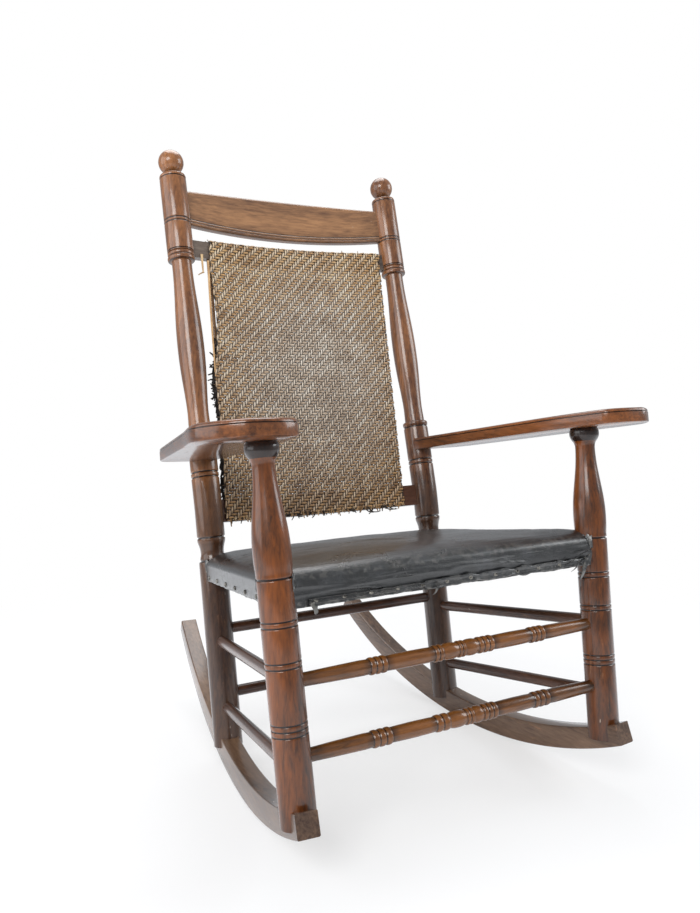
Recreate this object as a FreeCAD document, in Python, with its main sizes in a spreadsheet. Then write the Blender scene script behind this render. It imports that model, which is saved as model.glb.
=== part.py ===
import FreeCAD, Part
import math
import os
import re
import Sketcher
from FreeCAD import Placement, Rotation, Vector

# Turned rocking chair: two rear posts with ball finials, two front posts that run up to the
# arms, paddle arms, a bowed crest rail, a woven reed back between two flat rails, a woven
# seat under a leather cover, turned front stretchers, plain side and rear stretchers and two
# sawn runners. Millimetres. +Z up, the sitter faces -Y, X is across the chair.
# The chair is drawn "square" in its own frame (x across, p backwards, q up the front posts),
# and that frame leans back by lean_angle over the runners, which stand upright on the floor
# with the lowest point of their arc runner_centre_y behind the chair frame's own origin.

doc = FreeCAD.newDocument("RockingChair")

SIZES = [
    ("lean_angle", 8.0), ("fit_clearance", 0.1), ("post_radius", 25.5),
    ("tenon_radius", 9.0), ("tenon_depth", 15.0),
    # front posts
    ("front_half_width", 276.4), ("front_depth", 313.0), ("front_splay", 1.67),
    # rear posts
    ("rear_half_width", 236.5), ("rear_depth", 89.0), ("rear_half_splay", 0.15),
    ("lower_recline", 2.4), ("upper_recline", 4.45), ("bend_height", 460.0),
    ("bend_tangent", 11.0),
    # runners
    ("runner_radius", 800.0), ("runner_top_radius", 848.0), ("runner_depth", 41.6),
    ("runner_width", 32.0), ("runner_front", 358.0), ("runner_rear", 448.0),
    ("runner_centre_y", 8.6), ("foot_tenon_radius", 10.0), ("foot_tenon_depth", 22.0),
    # arms
    ("arm_height", 552.5), ("arm_thickness", 24.0), ("arm_tenon_radius", 8.0),
    ("arm_front", 403.0), ("arm_inner_front", 262.0), ("arm_inner_rear", 216.0),
    ("arm_outer_front", 398.0), ("arm_outer_rear", 336.0), ("arm_waist", 150.0),
    ("arm_side_radius", 900.0), ("arm_corner_length", 62.0), ("arm_inner_flare", 20.0),
    ("arm_outer_flare", 16.0), ("arm_inner_round", 70.0), ("arm_front_radius", 400.0),
    ("arm_outer_round", 110.0), ("arm_heel_round", 60.0),
    # turned rings, coves and beads on the posts
    ("ring_depth", 1.8), ("ring_half_width", 1.8), ("cove_depth", 4.5),
    ("leg_ring", 167.5), ("seat_groove", 367.6),
    ("belly_height", 410.6), ("neck_hollow_radius", 2700.0),
    ("arm_neck_radius", 16.0), ("arm_neck_height", 36.0), ("arm_head_height", 18.0),
    ("arm_head_radius", 23.4), ("arm_head_round", 5.0),
    # upper rear posts, heights above the bend
    ("vase_foot", 153.5), ("vase_neck", 484.5), ("vase_radius", 19.2),
    ("vase_swell_radius", 2700.0), ("bead_height", 11.0), ("head_ring", 565.2),
    ("head_top", 662.7), ("ball_radius", 24.5), ("neck_radius", 14.0), ("neck_length", 8.7),
    # front and rear stretchers, and the side ones (front and rear end heights)
    ("front_stretcher_high", 226.7), ("front_stretcher_low", 125.4),
    ("front_stretcher_radius", 12.5), ("front_stretcher_end", 9.6),
    # the front stretchers' turned swellings, from the middle, and their widths
    ("outer_left_group", -159.0), ("outer_left_group_width", 32.0),
    ("left_group", -50.0), ("left_group_width", 20.0),
    ("middle_group", -3.0), ("middle_group_width", 16.0),
    ("right_group", 32.0), ("right_group_width", 29.0),
    ("outer_right_group", 132.0), ("outer_right_group_width", 31.0),
    ("group_shoulder", 2.4),
    ("rear_stretcher_high", 243.0), ("rear_stretcher_low", 129.0),
    ("side_high_front", 229.0), ("side_high_rear", 224.0),
    ("side_low_front", 112.0), ("side_low_rear", 107.0),
    ("plain_stretcher_radius", 9.8),
    # seat
    ("seat_rail_height", 342.0), ("seat_rail_stagger", 14.0), ("seat_rail_radius", 11.0),
    ("weave_thickness", 7.0), ("weave_drop", 2.0), ("seat_crown", 16.0), ("front_skirt", 18.0),
    ("side_skirt", 9.0), ("skirt_thickness", 6.0), ("cover_clearance", 1.2),
    # back
    ("crest_top", 633.0), ("crest_height", 69.0), ("crest_thickness", 17.0),
    ("crest_bow", 22.0), ("crest_rise", 9.0), ("crest_dip", 9.0), ("crest_tenon_height", 46.0),
    ("back_bow", 20.0), ("back_tenon_thickness", 8.0), ("back_tenon_set", 2.5),
    ("tenon_root", 7.0),
    ("upper_rail_height", 35.0), ("lower_rail_height", 42.0), ("back_rail_thickness", 14.0),
    ("upper_rail_middle", 513.5), ("lower_rail_middle", -3.0), ("back_tenon_inset", 5.0),
    ("stick_radius", 4.5), ("stick_inset", 8.0), ("stick_seat", 8.0),
    ("panel_thickness", 5.0), ("panel_left_top", 189.0), ("panel_right_top", 204.0),
    ("panel_left_low", 206.0), ("panel_right_low", 182.0),
    ("tack_radius", 4.0), ("tack_height", 1.8), ("tack_pitch", 52.0),
    ("strip_height", 15.0), ("strip_thickness", 2.6),
]

sheet = doc.addObject("Spreadsheet::Sheet", "Sizes")
for row, (name, value) in enumerate(SIZES, start=1):
    sheet.set("A%d" % row, name)
    sheet.set("B%d" % row, str(value))
    sheet.setAlias("B%d" % row, name)
doc.recompute()
NAMES = {name for name, value in SIZES}


def formula(text):
    """The text with each size name pointed at its cell."""
    return re.sub(r"[a-z_]+", lambda m: "Sizes." + m.group(0) if m.group(0) in NAMES
                  else m.group(0), str(text))


def size(text):
    """The number that a size, or a formula of sizes, has now."""
    found = sheet.evalExpression(formula(text))
    return float(getattr(found, "Value", found))


def degrees(text):
    return math.radians(size(text))


# Frames

front_tan = math.tan(degrees("front_splay"))
rear_tan = math.tan(degrees("rear_half_splay"))
low_tan = math.tan(degrees("lower_recline"))


def front_axis(side, q):
    return Vector(side * (size("front_half_width") + front_tan * q), -size("front_depth"), q)


def rear_axis(side, q):
    return Vector(side * (size("rear_half_width") + rear_tan * q),
                  size("rear_depth") + low_tan * q, q)


def back_axis(side, w):
    """A point of the upper rear post's axis in the back's frame."""
    lift = rear_tan * (size("bend_height") + w)
    return Vector(side * (size("rear_half_width") + lift), 0, w)


# the runners stand toed out, and the origin lies midway between their tips
heel, toe_end = rear_axis(1, size("runner_depth")), front_axis(1, size("runner_depth"))
toe = math.atan2(toe_end.x - heel.x, heel.y - toe_end.y)
middle_y = size("runner_centre_y") + size("(runner_rear - runner_front) / 2") * math.cos(toe)
arc_y = size("runner_centre_y") - middle_y
chair = Placement(Vector(0, -middle_y, 0), Rotation(Vector(1, 0, 0), -size("lean_angle")))
bend_p = size("rear_depth") + low_tan * size("bend_height")
# the back's own frame: origin between the posts' bends, q up along the upper posts
back = chair.multiply(Placement(Vector(0, bend_p, size("bend_height")),
                                Rotation(Vector(1, 0, 0),
                                         -size("lower_recline + upper_recline"))))


def aimed(start, end):
    """A placement at start whose Z points at end."""
    return Placement(start, Rotation(Vector(0, 0, 1), end - start))


# Builders

def plane_of(body, role):
    return [f for f in body.Origin.OriginFeatures if f.Role == role][0]


def put_sketch(body, role, name):
    sketch = body.newObject("Sketcher::SketchObject", name)
    sketch.AttachmentSupport = [(plane_of(body, role), "")]
    sketch.MapMode = "FlatFace"
    return sketch


def outline(sketch, corners):
    """A closed outline of lines and arcs through (x, y, arc radius to the next) corners.

    A positive radius bulges to the right of the way from corner to corner. Each corner is
    held by its distances from the origin, and each arc by its radius.
    """
    points = [(size(c[0]), size(c[1])) for c in corners]
    count = len(points)
    rules, bound, ends = [], [], []
    for i, corner in enumerate(corners):
        (ax, ay), (bx, by) = points[i], points[(i + 1) % count]
        radius = size(corner[2]) if len(corner) > 2 else 0.0
        start, end = Vector(ax, ay, 0), Vector(bx, by, 0)
        if radius:
            chord = (end - start).Length
            rise = abs(radius) - math.sqrt(radius * radius - chord * chord / 4.0)
            across = Vector(end.y - start.y, start.x - end.x, 0).normalize()
            middle = (start + end) * 0.5 + across * math.copysign(rise, radius)
            made = sketch.addGeometry(Part.Arc(start, middle, end), False)
            rules.append(Sketcher.Constraint("Radius", made, abs(radius)))
            bound.append((len(rules) - 1, "abs(%s)" % corner[2]))
        else:
            made = sketch.addGeometry(Part.LineSegment(start, end), False)
        first = 1 if (sketch.getPoint(made, 1) - start).Length < 1e-6 else 2
        ends.append((made, first, 3 - first))
    for i, corner in enumerate(corners):
        made, first, last = ends[i]
        after, begin, other = ends[(i + 1) % count]
        rules.append(Sketcher.Constraint("Coincident", made, last, after, begin))
        for k, kind, line in ((0, "DistanceX", -2), (1, "DistanceY", -1)):
            if abs(points[i][k]) < 1e-9:
                rules.append(Sketcher.Constraint("PointOnObject", made, first, line))
            else:
                rules.append(Sketcher.Constraint(kind, -1, 1, made, first, points[i][k]))
                bound.append((len(rules) - 1, corner[k]))
    sketch.addConstraint(rules)
    for place, text in bound:
        if isinstance(text, str):
            sketch.setExpression("Constraints[%d]" % place, formula(text))


def turned(name, profile, placement):
    """A turned piece: (height, radius, arc radius to the next) from its lower end up."""
    body = doc.addObject("PartDesign::Body", name)
    sketch = put_sketch(body, "XZ_Plane", name + "_profile")
    corners = [(0, profile[0][0])]
    corners += [(step[1], step[0]) + tuple(step[2:]) for step in profile]
    if profile[-1][1] != 0:
        corners += [(0, profile[-1][0])]
    outline(sketch, corners)
    spin = body.newObject("PartDesign::Revolution", name + "_turned")
    spin.Profile = sketch
    spin.ReferenceAxis = (sketch, ["V_Axis"])
    spin.Angle = 360.0
    body.Placement = placement
    return body


def board(name, role, corners, depth, placement, middle=False):
    """A sawn piece: an outline padded to its depth."""
    body = doc.addObject("PartDesign::Body", name)
    sketch = put_sketch(body, role, name + "_outline")
    outline(sketch, corners)
    pad = body.newObject("PartDesign::Pad", name + "_sawn")
    pad.Profile = sketch
    pad.setExpression("Length", formula(depth))
    pad.Midplane = middle
    body.Placement = placement
    return body


def rod(name, radius, height, placement):
    """A plain cylinder, for tenons, rails and the holes that take them."""
    made = doc.addObject("Part::Cylinder", name)
    for prop, text in (("Radius", radius), ("Height", height)):
        if isinstance(text, str):
            made.setExpression(prop, formula(text))
        else:
            setattr(made, prop, text)
    made.Placement = placement
    return made


def block(name, sizes, placement):
    """A box centred on its own placement."""
    made = doc.addObject("Part::Box", name)
    for prop, text in zip(("Length", "Width", "Height"), sizes):
        if isinstance(text, str):
            made.setExpression(prop, formula(text))
        else:
            setattr(made, prop, text)
    x, y, z = (size(text) for text in sizes)
    made.Placement = placement.multiply(Placement(Vector(-x / 2, -y / 2, -z / 2), Rotation()))
    return made


def fused(name, pieces):
    made = doc.addObject("Part::MultiFuse", name)
    made.Shapes = pieces
    return made


def cut(name, base, tools):
    made = doc.addObject("Part::Cut", name)
    made.Base = base
    made.Tool = tools[0] if len(tools) == 1 else fused(name + "_tools", tools)
    return made


finished = {}


def finish(node, piece):
    piece.Label = node
    finished[node] = piece
    return piece


def ring(height):
    """A V groove scored round a post at a height."""
    return [("%s - ring_half_width" % height, "post_radius"),
            ("%s" % height, "post_radius - ring_depth"),
            ("%s + ring_half_width" % height, "post_radius")]


SIDES = (("left", -1), ("right", 1))
holes = {}


def socket(host, name, place, direction, depth="tenon_depth", radius="tenon_radius"):
    """A hole in a post for a round tenon, from the axis point place along direction."""
    start = place + direction * (size("post_radius") - size(depth) - 2 * size("fit_clearance"))
    holes.setdefault(host, []).append(
        rod(name, "%s + fit_clearance" % radius, "%s + 8" % depth, aimed(start, start + direction)))


# Runners: each stands upright and runs from under its front post to under its rear post

top_centre = size("runner_depth + runner_top_radius")


def foot(axis, side):
    """Where a post's axis meets the top of the runner, in the chair's frame."""
    low, high = 0.0, 200.0
    for step in range(40):
        q = (low + high) / 2
        world = chair.multVec(axis(side, q))
        away = math.hypot((world.y - arc_y) / math.cos(toe), world.z - top_centre)
        low, high = (q, high) if away > size("runner_top_radius") else (low, q)
    return q


front_foot, rear_foot = foot(front_axis, 1), foot(rear_axis, 1)


def foot_tenon(name, side, axis, q, extra):
    """The round tenon below a post's foot, or with extra the hole that takes it."""
    top = chair.multVec(axis(side, q + 12))
    down = (chair.multVec(axis(side, q)) - top).normalize()
    tip = top + down * (12 + size("foot_tenon_depth") + extra * 2)
    return rod(name, "foot_tenon_radius + %s * fit_clearance" % extra,
               12 + size("foot_tenon_depth") + extra * 2, aimed(tip, tip - down))


big, small, depth = (size(n) for n in ("runner_radius", "runner_top_radius", "runner_depth"))
tip_f, tip_r = size("runner_front"), size("runner_rear")


def under(s):
    return big - math.sqrt(big * big - s * s)


def over(s):
    return depth + small - math.sqrt(small * small - s * s)


# both ends are sawn off square to the bottom arc
lean_f = (over(tip_f) - under(tip_f)) * 0.30
lean_r = (over(tip_r) - under(tip_r)) * 0.42
runner_outline = [(-tip_f, under(tip_f), "runner_radius"), (0, 0, "runner_radius"),
                  (tip_r, under(tip_r)),
                  (tip_r - lean_r, over(tip_r - lean_r), "0 - runner_top_radius"),
                  (0, "runner_depth", "0 - runner_top_radius"),
                  (-tip_f + lean_f, over(tip_f - lean_f))]
copes = {}
for word, side in SIDES:
    front = chair.multVec(front_axis(side, front_foot))
    here = front.x + side * math.tan(toe) * (front.y - arc_y)
    place = Placement(Vector(here, arc_y, 0),
                      Rotation(Vector(0, 0, 1), side * math.degrees(toe)))
    # the cylinder of the runner's top edge, to which both posts' feet are coped
    copes[word] = rod("runner_%s_top_cylinder" % word, "runner_top_radius - fit_clearance",
                      400.0, place.multiply(Placement(Vector(-200, 0, top_centre),
                                                      Rotation(Vector(0, 1, 0), 90))))
    sawn = board("runner_%s_sawn" % word, "YZ_Plane", runner_outline, "runner_width", place,
                 True)
    bores = [foot_tenon("runner_%s_front_hole" % word, side, front_axis, front_foot, 1),
             foot_tenon("runner_%s_rear_hole" % word, side, rear_axis, rear_foot, 1)]
    finish("runner_%s" % word, cut("runner_%s_bored" % word, sawn, bores))

# Stretchers and seat rails


def between(name, first, second, hosts, radius):
    """Where a round piece between two posts' axis points starts, ends and how long it is."""
    a, b = chair.multVec(first), chair.multVec(second)
    way = (b - a).normalize()
    inset = size("post_radius - tenon_depth")
    for host, place, direction in ((hosts[0], a, way), (hosts[1], b, way * -1)):
        socket(host, "%s_in_%s" % (name, host), place, direction, "tenon_depth", radius)
    return aimed(a + way * inset, b), (b - a).Length - 2 * inset


def dowel(name, first, second, hosts, radius):
    """A plain round bar driven into both posts."""
    place, length = between(name, first, second, hosts, radius)
    return finish(name, rod(name + "_bar", radius, length, place))


def beaded(name, q):
    """A front stretcher: five turned swellings on a round bar with thinner ends."""
    q = size(q)
    place, length = between(name, front_axis(-1, q), front_axis(1, q), FRONT,
                            "front_stretcher_end")
    middle = length / 2
    steps = [(0, "front_stretcher_end")]
    for group in ("outer_left", "left", "middle", "right", "outer_right"):
        start = middle + size("%s_group" % group)
        stop = start + size("%s_group_width" % group)
        steps += [(start, "front_stretcher_end"),
                  (start + size("group_shoulder"), "front_stretcher_radius"),
                  (stop - size("group_shoulder"), "front_stretcher_radius"),
                  (stop, "front_stretcher_end")]
    steps.append((length, "front_stretcher_end"))
    return finish(name, turned(name + "_turned", steps, place))


FRONT, REAR = (("front_post_left", "front_post_right"), ("rear_post_left", "rear_post_right"))
beaded("front_stretcher_upper", "front_stretcher_high")
beaded("front_stretcher_lower", "front_stretcher_low")
for name, q in (("upper", "rear_stretcher_high"), ("lower", "rear_stretcher_low")):
    dowel("rear_stretcher_%s" % name, rear_axis(-1, size(q)), rear_axis(1, size(q)), REAR,
          "plain_stretcher_radius")
across_q, along_q = size("seat_rail_height"), size("seat_rail_height + seat_rail_stagger")
for name, axis, hosts in (("front", front_axis, FRONT), ("rear", rear_axis, REAR)):
    dowel("seat_rail_%s" % name, axis(-1, across_q), axis(1, across_q), hosts,
          "seat_rail_radius")
for word, side in SIDES:
    hosts = ("front_post_%s" % word, "rear_post_%s" % word)
    for name, q_front, q_rear, radius in (
            ("side_stretcher_upper", "side_high_front", "side_high_rear",
             "plain_stretcher_radius"),
            ("side_stretcher_lower", "side_low_front", "side_low_rear",
             "plain_stretcher_radius"),
            ("seat_rail", "seat_rail_height + seat_rail_stagger",
             "seat_rail_height + seat_rail_stagger", "seat_rail_radius")):
        dowel("%s_%s" % (name, word), front_axis(side, size(q_front)),
              rear_axis(side, size(q_rear)), hosts, radius)

# Arms: a wide board, narrower towards the rear post, its end coped to the round post

arm_drop = chair.multiply(Placement(Vector(0, 0, size("arm_height")), Rotation()))
arm_middle = size("arm_height + arm_thickness / 2")
for word, side in SIDES:
    rear_at_arm = back_axis(side, (arm_middle - size("bend_height")) / math.cos(
        degrees("lower_recline + upper_recline")))
    rear_p = chair.inverse().multVec(back.multVec(rear_at_arm)).y
    inner, outer, tip = (size(n) for n in ("arm_inner_front", "arm_outer_front", "arm_front"))
    heel_x = size("arm_outer_rear")
    # from the inner rear corner forward, round the front and back along the outside
    waist, side_bow, round_p = (size(n) for n in ("arm_waist", "arm_side_radius",
                                                  "arm_corner_length"))
    path = [(size("arm_inner_rear"), rear_p, 0),
            (inner - size("arm_inner_flare"), -tip + waist, side_bow),
            (inner, -tip + round_p, 0), (inner + 12, -tip + 24, size("arm_inner_round")),
            (inner + 48, -tip + 2, size("arm_front_radius")),
            (outer - 56, -tip, size("arm_outer_round")),
            (outer, -tip + round_p, side_bow),
            (outer - size("arm_outer_flare"), -tip + waist, 0),
            (heel_x, rear_p - 70, size("arm_heel_round")), (heel_x - 34, rear_p - 22, 0),
            (size("rear_half_width") + 14, rear_p, 0)]
    if side < 0:
        # the other way round, so each arc's radius moves on to the corner that now starts it
        radii = [corner[2] for corner in path]
        radii = radii[-2::-1] + radii[-1:]
        path = [(-x, p, radius) for (x, p, old), radius in zip(path[::-1], radii)]
    sawn = board("arm_%s_sawn" % word, "XY_Plane", path, "arm_thickness", arm_drop)
    notch = rod("arm_%s_cope" % word, "post_radius + fit_clearance", 300.0,
                aimed(back.multVec(back_axis(side, 0)), back.multVec(back_axis(side, 300))))
    top = chair.multVec(front_axis(side, size("arm_height")))
    up = (chair.multVec(front_axis(side, size("arm_height") + 10)) - top).normalize()
    hole = rod("arm_%s_hole" % word, "tenon_radius + fit_clearance",
               "tenon_depth + 2 * fit_clearance + 10", aimed(top - up * 10, top))
    seat = rod("arm_%s_seat" % word, "arm_head_radius - arm_head_round + 3 * fit_clearance", 10.0,
               aimed(top - up * 10, top))
    coped = cut("arm_%s_coped" % word, sawn, [notch, hole, seat])
    # the round tenon that pins the arm's end into the rear post
    mid = back.multVec(rear_at_arm)
    ahead = chair.Rotation.multVec(Vector(side * 0.04, -1, 0)).normalize()
    tenon = rod("arm_%s_tenon" % word, "arm_tenon_radius", "tenon_depth + 14",
                aimed(mid + ahead * size("post_radius - tenon_depth"), mid + ahead * 90))
    socket("rear_post_%s" % word, "arm_in_rear_post_%s" % word, mid, ahead,
           "tenon_depth", "arm_tenon_radius")
    finish("arm_%s" % word, fused("arm_%s_whole" % word, [coped, tenon]))

# Back: a bowed crest rail, two bowed weave rails, two thin sticks and the woven panel


def shifted(x, n, w):
    return back.multiply(Placement(Vector(x, n, w), Rotation()))


def arc_radius(half, rise):
    return (half * half + rise * rise) / (2.0 * rise)


bow_half = size("rear_half_width")


def bowed(name, front, rear, bow, low, high):
    """A board bowed backwards between the posts, from n = front to rear and w = low to high."""
    bend = arc_radius(bow_half, bow)
    plan = [(-bow_half, front, -bend), (bow_half, front), (bow_half, rear, bend),
            (-bow_half, rear)]
    return board(name, "XY_Plane", plan, high - low, shifted(0, 0, low))


def bow_at(x):
    """How far the bowed rails lie behind the posts' axes."""
    bend = arc_radius(bow_half, size("back_bow"))
    return math.sqrt(bend * bend - x * x) - bend + size("back_bow")


def jointed(node, bent, middle, height, drill=()):
    """Copes a back rail to both posts, adds its tenons and cuts their mortises."""
    thick, slack = size("back_tenon_thickness"), 2 * size("fit_clearance")
    reach = size("tenon_depth + tenon_root")
    curves, low_curves, tabs = [], [], []
    for word, side in SIDES:
        curves.append(rod("%s_cope_%s" % (node, word), "post_radius + fit_clearance", 1000.0,
                          aimed(back.multVec(back_axis(side, -100)),
                                back.multVec(back_axis(side, 300)))))
        if middle - height / 2 < size("bend_tangent"):
            low_curves.append(rod("%s_low_cope_%s" % (node, word), "post_radius + fit_clearance",
                                  "bend_height - 200",
                                  aimed(chair.multVec(rear_axis(side, 200)),
                                        chair.multVec(rear_axis(side, 400)))))
        x = side * (back_axis(1, middle).x - size("post_radius - tenon_depth") - reach / 2)
        tabs.append(block("%s_tenon_%s" % (node, word), (reach, thick, height),
                          shifted(x, size("back_tenon_set"), middle)))
        holes.setdefault("rear_post_%s" % word, []).append(
            block("%s_mortise_%s" % (node, word), (reach + slack, thick + slack, height + slack),
                  shifted(x, size("back_tenon_set"), middle)))
    for number, curve in enumerate(curves + low_curves):
        bent = cut("%s_coped_%d" % (node, number), bent, [curve])
    whole = fused(node + "_whole", [bent] + tabs)
    finish(node, cut(node + "_drilled", whole, drill) if drill else whole)


thick, tall = size("crest_thickness"), size("crest_height")
base, top, half = size("crest_top") - tall, size("crest_top"), bow_half
dip, rise = size("crest_dip"), size("crest_rise")
plank = bowed("crest_plank", -thick / 2, thick / 2, size("crest_bow"), base - dip, top + rise)
face = board("crest_face", "XZ_Plane",
             [(-half, base, arc_radius(half, dip)), (half, base), (half, top,
              arc_radius(half, rise)), (-half, top)], 200.0, back, True)
crest = doc.addObject("Part::Common", "crest_board")
crest.Base, crest.Tool = plank, face
jointed("crest_rail", crest, top - tall / 2, size("crest_tenon_height"))

flat, slack = size("back_rail_thickness / 2"), size("fit_clearance")
bow = size("back_bow")
rail_ends = {}
for name in ("upper", "lower"):
    mid, deep = size("%s_rail_middle" % name), size("%s_rail_height / 2" % name)
    rail_ends[name] = (mid - deep, mid + deep)
low_w, high_w = rail_ends["lower"][1], rail_ends["upper"][0]
seats = {"upper": [], "lower": []}
for word, side in SIDES:
    x_low = side * size("panel_%s_low - stick_inset" % word)
    x_high = side * size("panel_%s_top - stick_inset" % word)
    low, high = Vector(x_low, bow_at(x_low), low_w), Vector(x_high, bow_at(x_high), high_w)
    way = (high - low).normalize()
    start, end = low - way * size("stick_seat"), high + way * size("stick_seat")
    finish("back_side_stick_%s" % word,
           rod("stick_%s" % word, "stick_radius", (end - start).Length,
               aimed(back.multVec(start), back.multVec(end))))
    for name, place, turn in (("lower", start, way), ("upper", end, way * -1)):
        place = place - turn * 2 * slack
        seats[name].append(
            rod("stick_%s_in_%s_rail" % (word, name), "stick_radius + fit_clearance", 20.0,
                aimed(back.multVec(place), back.multVec(place + turn * 20))))
for name in ("upper", "lower"):
    low, high = rail_ends[name]
    jointed("%s_back_rail" % name, bowed("%s_rail_plank" % name, -flat, flat, bow, low, high),
            (low + high) / 2, high - low - 2 * size("back_tenon_inset"), seats[name])

# the woven panel lies on the rails' front and is folded round both of them
skin = size("panel_thickness")
low, high = rail_ends["lower"][0] - slack - skin, rail_ends["upper"][1] + slack + skin
block_of_weave = bowed("panel_plank", -flat - slack - skin, flat + slack + skin, bow, low, high)
sides = board("panel_sides", "XZ_Plane",
              [(-size("panel_left_low"), low), (size("panel_right_low"), low),
               (size("panel_right_top"), high), (-size("panel_left_top"), high)], 200.0, back,
              True)
panel = doc.addObject("Part::Common", "panel_envelope")
panel.Base, panel.Tool = block_of_weave, sides
inside = [bowed("panel_round_%s_rail" % name, -flat - slack, flat + slack, bow,
                rail_ends[name][0] - slack, rail_ends[name][1] + slack)
          for name in ("upper", "lower")]
inside.append(bowed("panel_behind_sheet", -flat - slack, flat + 40, bow, low_w - slack,
                    high_w + slack))
finish("woven_back_panel", cut("panel_folded", panel, inside))

# Seat: the woven seat lies over the rails, and the leather cover is drawn down round it


def seat_corners(grow):
    """The seat's four corners, offset outwards from the lines between the posts' axes."""
    front, rear = front_axis(1, along_q), rear_axis(1, along_q)
    lean = (front.x - rear.x) / (rear.y - front.y)
    wide = grow * math.sqrt(1 + lean * lean)
    p_front, p_rear = front.y - grow, rear.y + grow
    x_front = front.x + lean * grow + wide
    x_rear = rear.x - lean * grow + wide
    return [(-x_front, p_front), (x_front, p_front), (x_rear, p_rear), (-x_rear, p_rear)]


def post_notches(name, slack):
    tools = []
    for word, side in SIDES:
        for axis, where in ((front_axis, "front"), (rear_axis, "rear")):
            tools.append(rod("%s_%s_%s" % (name, where, word), "post_radius + %s" % slack,
                             300.0, aimed(chair.multVec(axis(side, 200)),
                                          chair.multVec(axis(side, 500)))))
    return tools


weave_low = along_q + size("weave_drop")
weave_top = along_q + size("seat_rail_radius + weave_thickness")
weave = board("weave_plate", "XY_Plane", seat_corners(size("seat_rail_radius")),
              weave_top - weave_low,
              chair.multiply(Placement(Vector(0, 0, weave_low), Rotation())))
beds = []
for word, side in SIDES:
    a, b = (chair.multVec(axis(side, along_q)) for axis in (front_axis, rear_axis))
    beds.append(rod("weave_bed_%s" % word, "seat_rail_radius + fit_clearance",
                    (b - a).Length, aimed(a, b)))
finish("woven_seat", cut("weave_cut", weave, beds + post_notches("weave_notch", "2 * fit_clearance")))


def level(grow, q):
    points = [Vector(x, p, q) for x, p in seat_corners(grow)]
    return Part.makePolygon(points + points[:1])


skin = size("skirt_thickness")
over_rail = size("seat_rail_radius + 2 * fit_clearance") + skin
hem, crown = size("seat_rail_height - front_skirt"), size("seat_crown")
shell = Part.makeLoft([level(over_rail, hem), level(over_rail, weave_top - 10),
                       level(over_rail - 2, weave_top + 0.08 * crown),
                       level(over_rail - 12, weave_top + 0.36 * crown),
                       level(over_rail - 36, weave_top + 0.64 * crown),
                       level(over_rail - 80, weave_top + 0.88 * crown),
                       level(over_rail - 130, weave_top + crown)], True, True)
hollow = Part.Face(level(over_rail - skin, hem - 20)).extrude(
    Vector(0, 0, weave_top + size("fit_clearance") - hem + 20))
# the sides and the rear are cut off shorter than the front
front_face = -size("front_depth") - over_rail
short = Part.makeBox(900, 900, size("front_skirt - side_skirt") + 20,
                     Vector(-450, front_face + skin, hem - 20))
cover = doc.addObject("Part::Feature", "cover_shell")
cover.Shape = shell.cut(hollow).cut(short)
cover.Placement = chair
finish("leather_seat_cover", cut("cover_notched", cover, post_notches("cover_notch", "cover_clearance")))

# a folded strip nailed along the cover's front edge, and the tacks
strip_q = hem + size("strip_height / 2") + 1
half = front_axis(1, strip_q).x - size("post_radius") - 1.0
strip_face = front_face - size("fit_clearance + strip_thickness")
strip = block("strip_bar", (2 * half, "strip_thickness", "strip_height"),
              chair.multiply(Placement(Vector(0, strip_face + size("strip_thickness / 2"),
                                              strip_q), Rotation())))
finish("leather_edge_strip", strip)
tacks = []
count = int(2 * half // size("tack_pitch"))
for k in range(count + 1):
    head = doc.addObject("Part::Prism", "tack_%d" % k)
    head.Polygon = 8
    head.setExpression("Circumradius", formula("tack_radius"))
    head.setExpression("Height", formula("tack_height"))
    head.Placement = chair.multiply(Placement(
        Vector((k - count / 2.0) * size("tack_pitch"), strip_face - size("fit_clearance"),
               strip_q + 1), Rotation(Vector(1, 0, 0), 90)))
    tacks.append(head)
finish("upholstery_tacks", fused("front_tacks", tacks))

# Rear posts: two turned lengths on axes that meet at the bend, and the bent ring between

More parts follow.
